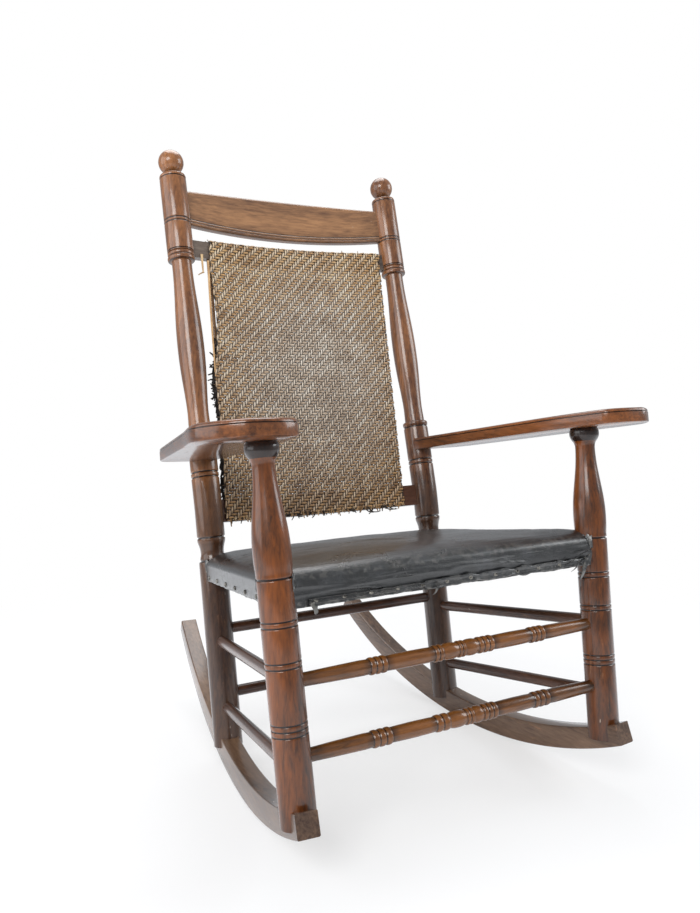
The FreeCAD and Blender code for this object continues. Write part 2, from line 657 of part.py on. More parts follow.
for word, side in SIDES:
    host = "rear_post_%s" % word
    stretch = math.sqrt(1 + low_tan ** 2 + rear_tan ** 2)
    below = size("bend_height - bend_tangent") * stretch
    a, b = (chair.multVec(rear_axis(side, q)) for q in (0, 400))
    lower = turned(host + "_lower", [("20", "post_radius")] + [
        ("seat_groove - 1", "post_radius"), ("seat_groove + 16", "post_radius - cove_depth"),
        ("seat_groove + 36", "post_radius"), (below, "post_radius")], aimed(a, b))
    c, d = (back.multVec(back_axis(side, w)) for w in (0, 400))
    upper = turned(host + "_upper", [
        ("bend_tangent", "post_radius"), ("vase_foot - bead_height", "post_radius"),
        ("vase_foot - bead_height + ring_depth", "post_radius - ring_depth"),
        ("vase_foot - bead_height + 2 * ring_depth", "post_radius"),
        ("vase_foot - ring_depth", "post_radius"), ("vase_foot", "vase_radius",
                                                    "vase_swell_radius"),
        ("vase_neck", "vase_radius"), ("vase_neck + ring_depth", "post_radius"),
        ("vase_neck + bead_height", "post_radius"),
        ("vase_neck + bead_height + 1.5", "post_radius - 3"),
        ("vase_neck + bead_height + 3", "post_radius")] + ring("head_ring") + [
        ("head_top", "post_radius"),
        ("head_top + neck_length", "neck_radius", "ball_radius"),
        ("head_top + neck_length + sqrt(ball_radius ^ 2 - neck_radius ^ 2) + ball_radius", 0)],
        aimed(c, d))
    down, up = (a - b).normalize(), (d - c).normalize()
    low_end, high_end = a - down * below, c + up * size("bend_tangent")
    swing = math.acos(max(-1.0, min(1.0, -(down * up))))
    hinge = (down * -1).cross(up).normalize()
    reach = (high_end - low_end).Length / 2 / math.sin(swing / 2)
    toward = hinge.cross(down * -1).normalize()
    disc = Part.Face(Part.Wire(Part.makeCircle(size("post_radius"), low_end, down * -1)))
    bent = doc.addObject("Part::Feature", host + "_bend")
    bent.Shape = disc.revolve(low_end + toward * reach, hinge, math.degrees(swing))
    whole = fused(host + "_spindle", [lower, bent, upper])
    coped = doc.addObject("Part::Common", host + "_foot")
    coped.Base, coped.Tool = whole, copes[word]
    peg = foot_tenon(host + "_peg", side, rear_axis, rear_foot, 0)
    whole = fused(host + "_pegged", [coped, peg])
    finish(host, cut(host + "_mortised", whole, holes[host]))

# Front posts: leg, seat block and arm support turned in one

for word, side in SIDES:
    host = "front_post_%s" % word
    steps = [("20", "post_radius")]
    steps += ring("leg_ring")
    steps += [("belly_height", "post_radius", "0 - neck_hollow_radius"),
              ("arm_height - arm_neck_height", "arm_neck_radius"),
              ("arm_height - arm_head_height", "arm_neck_radius"),
              ("arm_height - arm_head_height + arm_head_round", "arm_head_radius"),
              ("arm_height - arm_head_round", "arm_head_radius"),
              ("arm_height", "arm_head_radius - arm_head_round"),
              ("arm_height", "tenon_radius"), ("arm_height + tenon_depth", "tenon_radius")]
    body = turned(host + "_spindle", steps,
                  aimed(chair.multVec(front_axis(side, 0)), chair.multVec(front_axis(side, 400))))
    coped = doc.addObject("Part::Common", host + "_foot")
    coped.Base, coped.Tool = body, copes[word]
    peg = foot_tenon(host + "_peg", side, front_axis, front_foot, 0)
    whole = fused(host + "_pegged", [coped, peg])
    finish(host, cut(host + "_mortised", whole, holes[host]))

doc.recompute()
failed = [obj.Name for obj in doc.Objects if "Invalid" in obj.State or "Error" in obj.State]
if failed:
    raise RuntimeError("these objects did not build: %s" % ", ".join(failed))
os.makedirs("parts", exist_ok=True)
for node, piece in finished.items():
    shape = piece.Shape
    if shape.isNull() or not shape.isValid() or not shape.Solids:
        raise RuntimeError("%s has no valid solid" % node)
    shape.exportStep("parts/%s.step" % node)
print(len(finished), "nodes written")
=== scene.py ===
import math
import random

import bmesh
import bpy
import numpy as np
from mathutils import Matrix, Vector, noise


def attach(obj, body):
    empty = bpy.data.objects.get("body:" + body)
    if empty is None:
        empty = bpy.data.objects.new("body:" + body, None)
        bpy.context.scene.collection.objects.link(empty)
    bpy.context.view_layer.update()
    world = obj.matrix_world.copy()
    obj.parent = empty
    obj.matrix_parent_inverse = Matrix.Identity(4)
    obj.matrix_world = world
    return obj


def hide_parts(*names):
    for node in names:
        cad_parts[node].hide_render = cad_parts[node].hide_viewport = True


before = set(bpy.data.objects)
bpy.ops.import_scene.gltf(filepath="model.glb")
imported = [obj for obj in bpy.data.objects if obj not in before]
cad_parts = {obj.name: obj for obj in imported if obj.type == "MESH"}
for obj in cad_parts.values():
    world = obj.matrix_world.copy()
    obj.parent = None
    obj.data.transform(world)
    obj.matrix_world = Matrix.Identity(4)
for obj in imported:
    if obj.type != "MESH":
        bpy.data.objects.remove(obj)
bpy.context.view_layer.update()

# The room: a plain white floor that only keeps the chair's shadow, soft daylight from a large
# window in front on the left with weaker lamps round it, and a camera held low and close to the
# chair, looking slightly down and turned 28 degrees across it.

yaw, dip, roll = (math.radians(a) for a in (27.99, -4.71, -0.64))
eye = (-0.6932, -1.29647, 0.6581)
ahead = Vector((math.sin(yaw) * math.cos(dip), math.cos(yaw) * math.cos(dip), math.sin(dip)))
across = Vector((math.cos(yaw), -math.sin(yaw), 0))
upward = across.cross(ahead)
turned_across = across * math.cos(roll) + upward * math.sin(roll)
turned_up = upward * math.cos(roll) - across * math.sin(roll)
camera_data = bpy.data.cameras.new("camera")
camera_data.lens, camera_data.sensor_width, camera_data.sensor_fit = 31.54, 36.0, "AUTO"
camera_data.dof.use_dof = False
camera = bpy.data.objects.new("camera", camera_data)
bpy.context.scene.collection.objects.link(camera)
turn = Matrix((turned_across, turned_up, -ahead)).transposed().to_4x4()
camera.matrix_world = Matrix.Translation(eye) @ turn
bpy.context.scene.camera = camera
bpy.context.scene.view_settings.view_transform = "Standard"


def emptied_tree(owner):
    """The node tree of a world or a material, with nothing in it."""
    owner.use_nodes = True
    owner.node_tree.nodes.clear()
    return owner.node_tree


def link_or_set(tree, target, value):
    """Links an input to another node's output, or gives it a plain value."""
    if isinstance(value, bpy.types.NodeSocket):
        tree.links.new(value, target)
    else:
        target.default_value = value


def shader_node(tree, kind, inputs=(), **settings):
    """A node with these settings, its inputs given by name or number."""
    made = tree.nodes.new(kind)
    for name, value in settings.items():
        setattr(made, name, value)
    for socket, value in dict(inputs).items():
        link_or_set(tree, made.inputs[socket], value)
    return made


def maths(tree, kind, *values, clamp=False):
    """The output of a Math node that works on these values."""
    return shader_node(tree, "ShaderNodeMath", enumerate(values), operation=kind,
                       use_clamp=clamp).outputs[0]


world = bpy.data.worlds.new("studio")
bpy.context.scene.world = world
sky = emptied_tree(world)
rays = shader_node(sky, "ShaderNodeLightPath")
lit = shader_node(sky, "ShaderNodeBackground", {"Color": (0.93, 0.96, 1.0, 1), "Strength": 0.4})
seen = shader_node(sky, "ShaderNodeBackground", {"Color": (1, 1, 1, 1), "Strength": 1.0})
shown = maths(sky, "MAXIMUM", rays.outputs["Is Camera Ray"], rays.outputs["Is Transmission Ray"])
either = shader_node(sky, "ShaderNodeMixShader", {0: shown, 1: lit.outputs[0],
                                                  2: seen.outputs[0]})
shader_node(sky, "ShaderNodeOutputWorld", {"Surface": either.outputs[0]})

floor_half, floor_z = 9.0, -0.0005
floor_mesh = bpy.data.meshes.new("floor")
floor_mesh.from_pydata([(x * floor_half, y * floor_half, floor_z)
                        for x, y in ((-1, -1), (1, -1), (1, 1), (-1, 1))], [], [(0, 1, 2, 3)])
floor = bpy.data.objects.new("floor", floor_mesh)
bpy.context.scene.collection.objects.link(floor)
paper = bpy.data.materials.new("floor_paper")
paint = emptied_tree(paper)
matt = shader_node(paint, "ShaderNodeBsdfDiffuse", {"Color": (0.93, 0.94, 0.96, 1)})
glow = shader_node(paint, "ShaderNodeEmission", {"Color": (1, 1, 1, 1), "Strength": 1.0})
floor_place = shader_node(paint, "ShaderNodeTexCoord")
from_chair = shader_node(paint, "ShaderNodeVectorMath", {0: floor_place.outputs["Object"]},
                         operation="LENGTH")
# the shadow shows near the chair and fades to white further out
fading = shader_node(paint, "ShaderNodeMapRange",
                     {"Value": from_chair.outputs["Value"], "From Min": 0.45, "From Max": 1.45,
                      "To Min": 0.62, "To Max": 1.0}, interpolation_type="SMOOTHSTEP")
path = shader_node(paint, "ShaderNodeLightPath")
part_seen = maths(paint, "MULTIPLY", path.outputs["Is Camera Ray"], fading.outputs["Result"])
blend = shader_node(paint, "ShaderNodeMixShader", {0: part_seen, 1: matt.outputs[0],
                                                   2: glow.outputs[0]})
shader_node(paint, "ShaderNodeOutputMaterial", {"Surface": blend.outputs[0]})
floor_mesh.materials.append(paper)

for name, place, aim, wide, watts, tint in (
        ("window", (-2.4, -2.2, 2.6), (0, 0, 0.6), 1.7, 80.0, (1.0, 0.99, 0.975)),
        ("left_wall", (-2.9, 0.3, 1.6), (0, 0, 0.7), 2.6, 44.0, (0.97, 0.98, 1.0)),
        ("side_window", (2.8, -1.0, 1.9), (0, 0, 0.6), 1.7, 44.0, (0.95, 0.98, 1.0)),
        ("ceiling", (0.2, 0.9, 3.0), (0, 0, 0.4), 1.8, 40.0, (1.0, 1.0, 1.0))):
    lamp = bpy.data.lights.new(name, "AREA")
    lamp.shape, lamp.size, lamp.energy, lamp.color = "SQUARE", wide, watts, tint
    holder = bpy.data.objects.new(name, lamp)
    bpy.context.scene.collection.objects.link(holder)
    way = Vector(aim) - Vector(place)
    holder.matrix_world = (Matrix.Translation(place)
                           @ way.to_track_quat("-Z", "Y").to_matrix().to_4x4())

# Rear posts: each turned from one 51 mm square of beech or maple, steam-bent above the seat,
# stained red-brown and varnished. A vase, bead pairs and a ball finial are turned on the upper
# length; the foot is pegged into the runner.

lean, recline = math.radians(8.0), math.radians(6.85)
chair_back_by = 53.37
rear_foot_x, rear_splay = 236.5, 0.002618
rear_foot_p, rear_rake = 89.0, 0.04191
bend_q = 460.0
bend_p = rear_foot_p + math.tan(math.radians(2.4)) * bend_q
both_sides = (("left", -1), ("right", 1))


def chair_point(x, p, q):
    """The place in metres of a point given in mm: across, back and up the leaning chair."""
    return Vector((x, p * math.cos(lean) + q * math.sin(lean) - chair_back_by,
                   -p * math.sin(lean) + q * math.cos(lean))) / 1000


def back_point(x, n, w):
    """The place in metres of a point on the reclined back, in mm: across, behind the posts'
    line, up from the bend."""
    return chair_point(x, bend_p + n * math.cos(recline) + w * math.sin(recline),
                       bend_q - n * math.sin(recline) + w * math.cos(recline))


def rear_reach(q):
    """How far the rear posts' axes stand from the chair's middle at height q."""
    return rear_foot_x + rear_splay * q


def rear_line(q):
    """How far back the rear posts' axes stand at height q, up to the bend."""
    return rear_foot_p + rear_rake * q


def to_linear(red, green, blue):
    """A colour picked on screen, as the shader wants it."""
    return tuple((c / 12.92 if c <= 0.04045 else ((c + 0.055) / 1.055) ** 2.4)
                 for c in (red / 255, green / 255, blue / 255)) + (1.0,)


def colour_ramp(tree, source, stops, smooth=False):
    """A colour that follows source through (place, colour) stops."""
    ramp = tree.nodes.new("ShaderNodeValToRGB")
    ramp.color_ramp.interpolation = "EASE" if smooth else "LINEAR"
    while len(ramp.color_ramp.elements) < len(stops):
        ramp.color_ramp.elements.new(0.5)
    for element, (place, colour) in zip(ramp.color_ramp.elements, stops):
        element.position, element.color = place, colour
    tree.links.new(source, ramp.inputs[0])
    return ramp.outputs[0]


def mask(tree, source, black_at, white_at, smooth=False):
    """A mask that runs from black to white as source goes from black_at to white_at."""
    return colour_ramp(tree, source, sorted([(black_at, (0, 0, 0, 1)),
                                             (white_at, (1, 1, 1, 1))]), smooth)


def mixed(tree, factor, first, second):
    """The first colour, giving way to the second as factor rises to 1."""
    made = shader_node(tree, "ShaderNodeMix", data_type="RGBA", clamp_result=True)
    for number, value in ((0, factor), (6, first), (7, second)):
        link_or_set(tree, made.inputs[number], value)
    return made.outputs[2]


def effect_group(name, inputs, outputs):
    """A shared shader effect: its group and its input node, and a way to set its outputs."""
    group = bpy.data.node_groups.new(name, "ShaderNodeTree")
    for way, sockets in (("INPUT", inputs), ("OUTPUT", outputs)):
        for label, kind in sockets:
            group.interface.new_socket(label, in_out=way, socket_type="NodeSocket" + kind)
    ends = group.nodes.new("NodeGroupOutput")

    def put_out(**values):
        for label, socket in values.items():
            group.links.new(socket, ends.inputs[label])

    return group, group.nodes.new("NodeGroupInput"), put_out


# old varnished wood: grain streaks along the piece, blotchy stain, painted shade in the turned
# grooves and other recesses, rubbed-through edges and small pale nicks
varnish, v_in, put_out = effect_group(
    "old_varnish",
    [("Vector", "Vector"), ("Light Stain", "Color"), ("Dark Stain", "Color"),
     ("Wear", "Float"), ("Painted Shade", "Float")],
    [("Color", "Color"), ("Roughness", "Float"), ("Height", "Float"), ("Gloss", "Float")])
grain_place = v_in.outputs["Vector"]
streaks = shader_node(varnish, "ShaderNodeTexNoise",
                      {"Vector": grain_place, "Scale": 210.0, "Detail": 5.0,
                       "Roughness": 0.62, "Distortion": 0.4})
blotches = shader_node(varnish, "ShaderNodeTexNoise",
                       {"Vector": grain_place, "Scale": 12.0, "Detail": 6.0,
                        "Roughness": 0.6, "Distortion": 0.3})
grain_mask = mask(varnish, streaks.outputs["Fac"], 0.32, 0.66)
blotch_mask = mask(varnish, blotches.outputs["Fac"], 0.32, 0.72, True)
spread = maths(varnish, "MULTIPLY_ADD", blotch_mask, 0.58,
               maths(varnish, "MULTIPLY", grain_mask, 0.42))
stained = mixed(varnish, spread, v_in.outputs["Dark Stain"], v_in.outputs["Light Stain"])
recess = shader_node(varnish, "ShaderNodeAttribute", attribute_name="recess")
rubbed = shader_node(varnish, "ShaderNodeAttribute", attribute_name="rubbed")
# painted shade: the recess value at each point mixes the stain towards near-black, standing in
# for shade in grooves, crevices and joints
painted_shade_amount = maths(varnish, "MULTIPLY", recess.outputs["Fac"], v_in.outputs["Painted Shade"],
                    clamp=True)
shade_darkened = mixed(varnish, painted_shade_amount, stained, to_linear(18, 9, 7))
scratch = shader_node(varnish, "ShaderNodeTexNoise",
                      {"Vector": grain_place, "Scale": 95.0, "Detail": 6.0,
                       "Roughness": 0.75})
scratch_mask = mask(varnish, scratch.outputs["Fac"], 0.62, 0.70)
edge_wear = maths(varnish, "MULTIPLY",
                  maths(varnish, "MULTIPLY_ADD", rubbed.outputs["Fac"], 0.75, 0.30),
                  v_in.outputs["Wear"])
worn_mask = maths(varnish, "MULTIPLY", edge_wear, scratch_mask, clamp=True)
worn = mixed(varnish, worn_mask, shade_darkened, to_linear(172, 120, 84))
flecks = shader_node(varnish, "ShaderNodeTexVoronoi",
                     {"Vector": grain_place, "Scale": 150.0, "Randomness": 1.0})
fleck_mask = mask(varnish, flecks.outputs["Distance"], 0.10, 0.05)
fleck_noise = shader_node(varnish, "ShaderNodeTexNoise",
                          {"Vector": grain_place, "Scale": 60.0, "Detail": 4.0})
fleck_place = mask(varnish, fleck_noise.outputs["Fac"], 0.58, 0.66)
nicked = mixed(varnish, maths(varnish, "MULTIPLY", fleck_mask, fleck_place), worn,
               to_linear(205, 186, 166))
rough = maths(varnish, "MULTIPLY_ADD", streaks.outputs["Fac"], 0.22, 0.30)
put_out(Color=nicked,
        Roughness=maths(varnish, "MULTIPLY_ADD", worn_mask, 0.3, rough),
        Height=maths(varnish, "SUBTRACT", streaks.outputs["Fac"], worn_mask),
        Gloss=maths(varnish, "SUBTRACT", 1.0, worn_mask, clamp=True))


def finished_material(name, effect_tree, bump_strength, bump_distance, stretch=None):
    """A material whose colour, roughness and bump come from a shared effect: the material,
    its surface and its effect node."""
    made = bpy.data.materials.new(name)
    made.use_nodes = True
    tree = made.node_tree
    surface = tree.nodes["Principled BSDF"]
    place = shader_node(tree, "ShaderNodeTexCoord").outputs["Object"]
    if stretch:
        place = shader_node(tree, "ShaderNodeMapping",
                            {"Vector": place, "Scale": stretch}).outputs[0]
    effect = shader_node(tree, "ShaderNodeGroup", node_tree=effect_tree)
    tree.links.new(place, effect.inputs["Vector"])
    bump = shader_node(tree, "ShaderNodeBump",
                       {"Strength": bump_strength, "Distance": bump_distance,
                        "Height": effect.outputs["Height"]})
    tree.links.new(effect.outputs["Color"], surface.inputs["Base Color"])
    tree.links.new(effect.outputs["Roughness"], surface.inputs["Roughness"])
    tree.links.new(bump.outputs[0], surface.inputs["Normal"])
    return made, surface, effect


def varnished_wood(name, stretch, light, dark, wear, shade_strength=1.0):
    """Stained, varnished wood whose grain runs along the axis that stretch shrinks."""
    made, surface, effect = finished_material(name, varnish, 0.22, 0.0006, stretch)
    for label, value in (("Light Stain", to_linear(*light)), ("Dark Stain", to_linear(*dark)),
                         ("Wear", wear), ("Painted Shade", shade_strength)):
        effect.inputs[label].default_value = value
    made.node_tree.links.new(effect.outputs["Gloss"], surface.inputs["Coat Weight"])
    surface.inputs["Coat Roughness"].default_value = 0.17
    surface.inputs["Coat IOR"].default_value = 1.5
    surface.inputs["Specular IOR Level"].default_value = 0.18
    return made


along_z, along_x, along_y = (1.0, 1.0, 0.13), (0.13, 1.0, 1.0), (1.0, 0.13, 1.0)
back_post_wood = varnished_wood("back_post_varnish", along_z, (164, 108, 64), (56, 29, 22), 0.6)


def point_values(mesh, label, values):
    """Stores one number for each point of a mesh, for its material to read."""
    layer = mesh.attributes.new(label, "FLOAT", "POINT")
    layer.data.foreach_set("value", np.array(values, dtype=np.float32))


def face_outwards(mesh, merge_mm=None):
    """Turns every face outwards, after merging points closer together than merge_mm."""
    work = bmesh.new()
    work.from_mesh(mesh)
    if merge_mm:
        bmesh.ops.remove_doubles(work, verts=work.verts, dist=merge_mm / 1000)
    bmesh.ops.recalc_face_normals(work, faces=work.faces)
    work.to_mesh(mesh)
    work.free()


def new_piece(name, mesh):
    """An object for a finished mesh, at the origin."""
    made = bpy.data.objects.new(name, mesh)
    bpy.context.scene.collection.objects.link(made)
    return made


def closed_piece(name, verts, faces, material, recessed=None, rubs=None, angle=50.0):
    """A smooth-shaded piece, sharp past angle, with its painted shade and its wear at each point.
    """
    mesh = bpy.data.meshes.new(name)
    mesh.from_pydata([tuple(v) for v in verts], [], faces)
    for label, values in (("recess", recessed), ("rubbed", rubs)):
        if values is not None:
            point_values(mesh, label, values)
    face_outwards(mesh, 0.001)
    mesh.shade_smooth()
    mesh.set_sharp_from_angle(angle=math.radians(angle))
    mesh.materials.append(material)
    return new_piece(name, mesh)


def tube_faces(rings, count, base=0):
    """The faces between rings of count points each, and one across either end."""
    last = base + (rings - 1) * count
    sides = [(j + k, j + (k + 1) % count, j + count + (k + 1) % count, j + count + k)
             for j in range(base, last, count) for k in range(count)]
    return sides + [tuple(range(base, base + count)), tuple(range(last, last + count))]


def spun_piece(name, rings, material, sides=72):
    """A turned piece from (centre, direction, radius, recess, rubbed) rings, both ends closed;
    the recess value is painted shade.
    """
    verts = []
    for centre, way, radius, low, rub in rings:
        way = way.normalized()
        first = way.orthogonal() if abs(way.z) < 0.5 else way.cross(Vector((0, 1, 0)))
        first = first.normalized()
        second = way.cross(first)
        for k in range(sides):
            a = 2 * math.pi * k / sides
            verts.append(centre + (first * math.cos(a) + second * math.sin(a)) * radius)
    recessed, rubs = ([ring[item] for ring in rings for k in range(sides)] for item in (3, 4))
    return closed_piece(name, verts, tube_faces(len(rings), sides), material, recessed, rubs)


def groove(h, radius, depth=1.6, half=1.7):
    """A scored line: (height, radius, recess, rubbed) steps, its bottom darkened as painted
    shade.
    """
    return [(h - half - 1.2, radius, 0, 0.2), (h - half, radius - 0.15, 0.1, 1.0),
            (h - 0.6, radius - depth, 1.0, 0), (h + 0.6, radius - depth, 1.0, 0),
            (h + half, radius - 0.15, 0.1, 1.0), (h + half + 1.2, radius, 0, 0.2)]


def bead(low, high, base, swell):
    """A turned half-round bead between two heights, darkened at its feet as painted shade."""
    steps = []
    for k in range(9):
        t = k / 8
        rise = math.sqrt(max(0.0, 1 - (2 * t - 1) ** 2))
        steps.append((low + (high - low) * t, base + swell * rise,
                      max(0.0, 1 - 2.2 * rise), 0.9 if rise > 0.85 else 0.0))
    return steps


def turned_curve(low, high, radii):
    """A smooth profile through evenly spaced radii from low to high."""
    steps, last = [], len(radii) - 1
    for k in range(last * 6 + 1):
        t = k / 6
        i = min(int(t), last - 1)
        f = t - i
        p0, p1, p2, p3 = (radii[max(0, min(last, i + d))] for d in (-1, 0, 1, 2))
        value = 0.5 * (2 * p1 + (p2 - p0) * f + (2 * p0 - 5 * p1 + 4 * p2 - p3) * f * f
                       + (3 * p1 - p0 - 3 * p2 + p3) * f ** 3)
        steps.append((low + (high - low) * k / (last * 6), value, 0.0, 0.0))
    return steps


POST = 25.5  # the posts' thickest radius
lower_steps = ([(38.0, POST, 0.4, 0), (60.0, POST, 0.1, 0), (150, POST, 0, 0), (250, POST, 0, 0)]
               + [(363.5, POST, 0, 0.3), (366.2, POST - 0.3, 0.2, 1.0),
                  (368.0, POST - 3.6, 1.0, 0), (370.0, POST - 3.2, 0.9, 0)]
               + turned_curve(371.5, 404.0, [POST - 2.6, POST - 4.4, POST - 4.2, POST - 2.6,
                                             POST - 0.2])
               + groove(410.6, POST, 2.0, 2.2) + [(430, POST, 0, 0), (447, POST, 0, 0)])
# the legs below the bend are darkened all over
lower_steps = [(q, radius, max(low, 0.74 if q < 400 else 0.66), rub)
               for q, radius, low, rub in lower_steps]
upper_steps = ([(12.0, POST, 0.56, 0), (40.0, POST, 0.44, 0)]
               + groove(61.6, POST) + groove(70.6, POST)
               + [(84.0, POST, 0.3, 0), (110.0, POST, 0.15, 0)] + groove(141.5, POST, 1.8, 1.6)
               + bead(144.0, 153.0, POST - 1.4, 2.2)
               + turned_curve(154.0, 484.5, [20.4, 19.6, 21.0, 23.2, 24.7, 25.0, 24.3, 22.6,
                                             20.6, 19.2, 18.9])
               + bead(485.5, 494.5, POST - 1.6, 2.2) + bead(495.2, 502.5, POST - 1.8, 1.6)
               + groove(505.5, POST, 1.7, 1.4) + [(535, POST, 0, 0)]
               + groove(562.0, POST) + groove(568.4, POST) + [(610, POST, 0, 0)]
               + groove(655.5, POST, 1.3, 1.3)
               + [(659.5, POST, 0, 0.4), (662.0, POST - 0.8, 0, 1.0), (663.2, POST - 3.0, 0, 0.6),
                  (664.5, 17.0, 0.7, 0), (667.0, 14.4, 1.0, 0)])
ball_centre, ball_radius = 691.5, 24.5
# the ring where the ball meets its neck is darkened as painted shade
for k in range(4, 31):
    a = -math.pi / 2 + math.pi * k / 30
    upper_steps.append((ball_centre + ball_radius * math.sin(a),
                        max(ball_radius * math.cos(a), 0.05), 0.8 if k == 4 else 0.0, 0.15))
low_way = (chair_point(0, rear_rake, 1) - chair_point(0, 0, 0)).normalized()
high_way = (back_point(0, 0, 1) - back_point(0, 0, 0)).normalized()
bend_start, bend_end = 448.0, 12.0
for word, side in both_sides:
    rings = [(chair_point(side * rear_reach(q), rear_line(q), q), low_way, radius / 1000, low,
              rub) for q, radius, low, rub in lower_steps]
    leg_top = rings[-1][0]
    for t in (0.25, 0.5, 0.75):
        x = side * rear_reach(bend_start + 22 * t)
        knee, upper_foot = chair_point(x, bend_p, bend_q), back_point(x, 0, bend_end)
        centre = leg_top * (1 - t) ** 2 + knee * 2 * t * (1 - t) + upper_foot * t ** 2
        rings.append((centre, low_way.lerp(high_way, t), POST / 1000, 0.62, 0))
    rings += [(back_point(side * rear_reach(bend_q + w), 0, w), high_way, radius / 1000, low,
               rub) for w, radius, low, rub in upper_steps]
    made = spun_piece("turned_rear_post_" + word, rings, back_post_wood)
    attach(made, "root")
    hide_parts("rear_post_" + word)

# Front posts: turned from the same stock in one length, leg below and arm support above, with
# a triple and two pairs of scored lines and a mushroom head that the arm sits on.

front_post_wood = varnished_wood("post_varnish", along_z, (138, 72, 16), (24, 11, 4), 0.85)
front_foot_x, front_splay, front_p = 276.4, 0.02916, -313.0


def front_reach(q):
    """How far the front posts' axes stand from the chair's middle at height q."""
    return front_foot_x + front_splay * q


front_steps = [(38.0, POST, 0.4, 0), (60.0, POST, 0.1, 0), (110, POST, 0, 0)]
for line in (159.8, 167.5, 175.2, 248.9, 256.5, 303.4, 311.0):
    front_steps += groove(line, POST, 1.2, 1.3)
front_steps += ([(340, POST, 0, 0)] + groove(367.6, POST, 1.8, 1.8)
                + turned_curve(373.0, 516.0, [25.2, 26.2, 26.5, 26.2, 25.2, 23.6, 21.6, 19.6,
                                              17.8, 16.6, 16.0])
                + turned_curve(518.0, 553.0, [16.0, 16.4, 18.0, 21.4, 23.6, 24.2, 23.8, 22.0]))
# painted shade: the head under the arm is darkened through its recess value
front_steps = [(q, radius, 0.92 if q > 530 else low, rub) for q, radius, low, rub in front_steps]
for word, side in both_sides:
    way = chair_point(side * front_splay, 0, 1) - chair_point(0, 0, 0)
    rings = [(chair_point(side * front_reach(q), front_p, q), way, radius / 1000, low, rub)
             for q, radius, low, rub in front_steps]
    made = spun_piece("turned_front_post_" + word, rings, front_post_wood)
    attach(made, "root")
    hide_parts("front_post_" + word)

# Front stretchers: two turned bars with five groups of beads and barrels between the middle
# groups, driven into the front posts.

stretcher_wood = varnished_wood("turned_bar_varnish", along_x, (138, 84, 34), (20, 10, 6), 0.8)
in_post = 18.0
for name, q, groups in (
        ("upper", 226.7, ((-155.7, -127.3, 3), (-46.7, -30.7, 2), (-3.5, 9.4, 2),
                          (33.0, 62.3, 3), (135.0, 163.8, 3))),
        ("lower", 125.4, ((-159.9, -128.0, 3), (-53.5, -29.0, 2), (0.5, 15.0, 2),
                          (32.2, 58.9, 3), (131.1, 162.9, 3)))):
    half = front_reach(q) - in_post
    steps = [(-half, 9.4, 0, 0), (-half + 14, 9.6, 0.5, 0)]
    edge = -half + 14
    for number, (start, stop, count) in enumerate(groups):
        if number in (2, 3):
            steps += turned_curve(edge + 0.4, start - 0.4, [10.6, 12.2, 12.6, 12.2, 10.6])
        elif number == 0:
            steps += [(start - 60, 10.4, 0, 0), (start - 12, 11.2, 0, 0),
                      (start - 1, 10.8, 0.6, 0)]
        else:
            span = start - edge
            steps += [(edge + 1, 10.8, 0.6, 0), (edge + 12, 11.2, 0, 0),
                      (edge + span / 2, 11.5, 0, 0), (start - 12, 11.2, 0, 0),
                      (start - 1, 10.8, 0.6, 0)]
        bead_wide = (stop - start) / count
        for k in range(count):
            steps += bead(start + bead_wide * k + 0.3, start + bead_wide * (k + 1) - 0.3,
                          10.6, 2.0)
        edge = stop
    steps += [(edge + 1, 10.8, 0.6, 0), (edge + 12, 11.2, 0, 0), (edge + 60, 10.4, 0, 0),
              (half - 14, 9.6, 0.5, 0), (half, 9.4, 0, 0)]
    rings = [(chair_point(x, front_p, q), Vector((1, 0, 0)), radius / 1000, low, rub)
             for x, radius, low, rub in steps]
    made = spun_piece("turned_front_stretcher_" + name, rings, stretcher_wood, 48)
    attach(made, "root")
    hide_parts("front_stretcher_" + name)

# Rear and side stretchers and the seat rails: plain round bars, darker and duller than the
# turned ones. The front and rear seat rails are hidden by the leather.

bar_across = varnished_wood("plain_bar_across", along_x, (96, 58, 38), (38, 21, 16), 0.45)
bar_lengthwise = varnished_wood("plain_bar_lengthwise", along_y, (100, 68, 52), (44, 27, 22),
                                0.5)


def refinish(node, material):
    """Gives a CAD piece its finish in every material slot."""
    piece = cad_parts[node]
    for slot in piece.material_slots:
        slot.material = material
    if not piece.material_slots:
        piece.data.materials.append(material)


for node in ("rear_stretcher_upper", "rear_stretcher_lower", "seat_rail_front",
             "seat_rail_rear"):
    refinish(node, bar_across)
for word, side in both_sides:
    for node in ("side_stretcher_upper_", "side_stretcher_lower_", "seat_rail_"):
        refinish(node + word, bar_lengthwise)

# Runners: two curved rockers sawn from 32 mm board, their edges eased, the ends cut nearly
# square to the curve. The varnish is worn grey-brown along the top and the sides are scuffed.

runner_wood = varnished_wood("runner_varnish", along_y, (128, 100, 78), (50, 33, 27), 0.8, 0.6)
board_height, board_half, ease = 41.6, 16.0, 2.2
under_radius, over_radius = 800.0, 848.0
front_s, rear_s, runner_steps, foot_q = -358.0, 448.0, 90, 58.0
toe = math.atan2(front_reach(board_height) - rear_reach(board_height),
                 rear_line(board_height) - front_p)
arc_y = 8.6 - chair_back_by


def under(s):
    """The height of the runner's lower edge at s along it."""
    return under_radius - math.sqrt(under_radius ** 2 - s * s)


def over(s):
    """The height of the runner's upper edge at s along it."""
    return board_height + over_radius - math.sqrt(over_radius ** 2 - s * s)


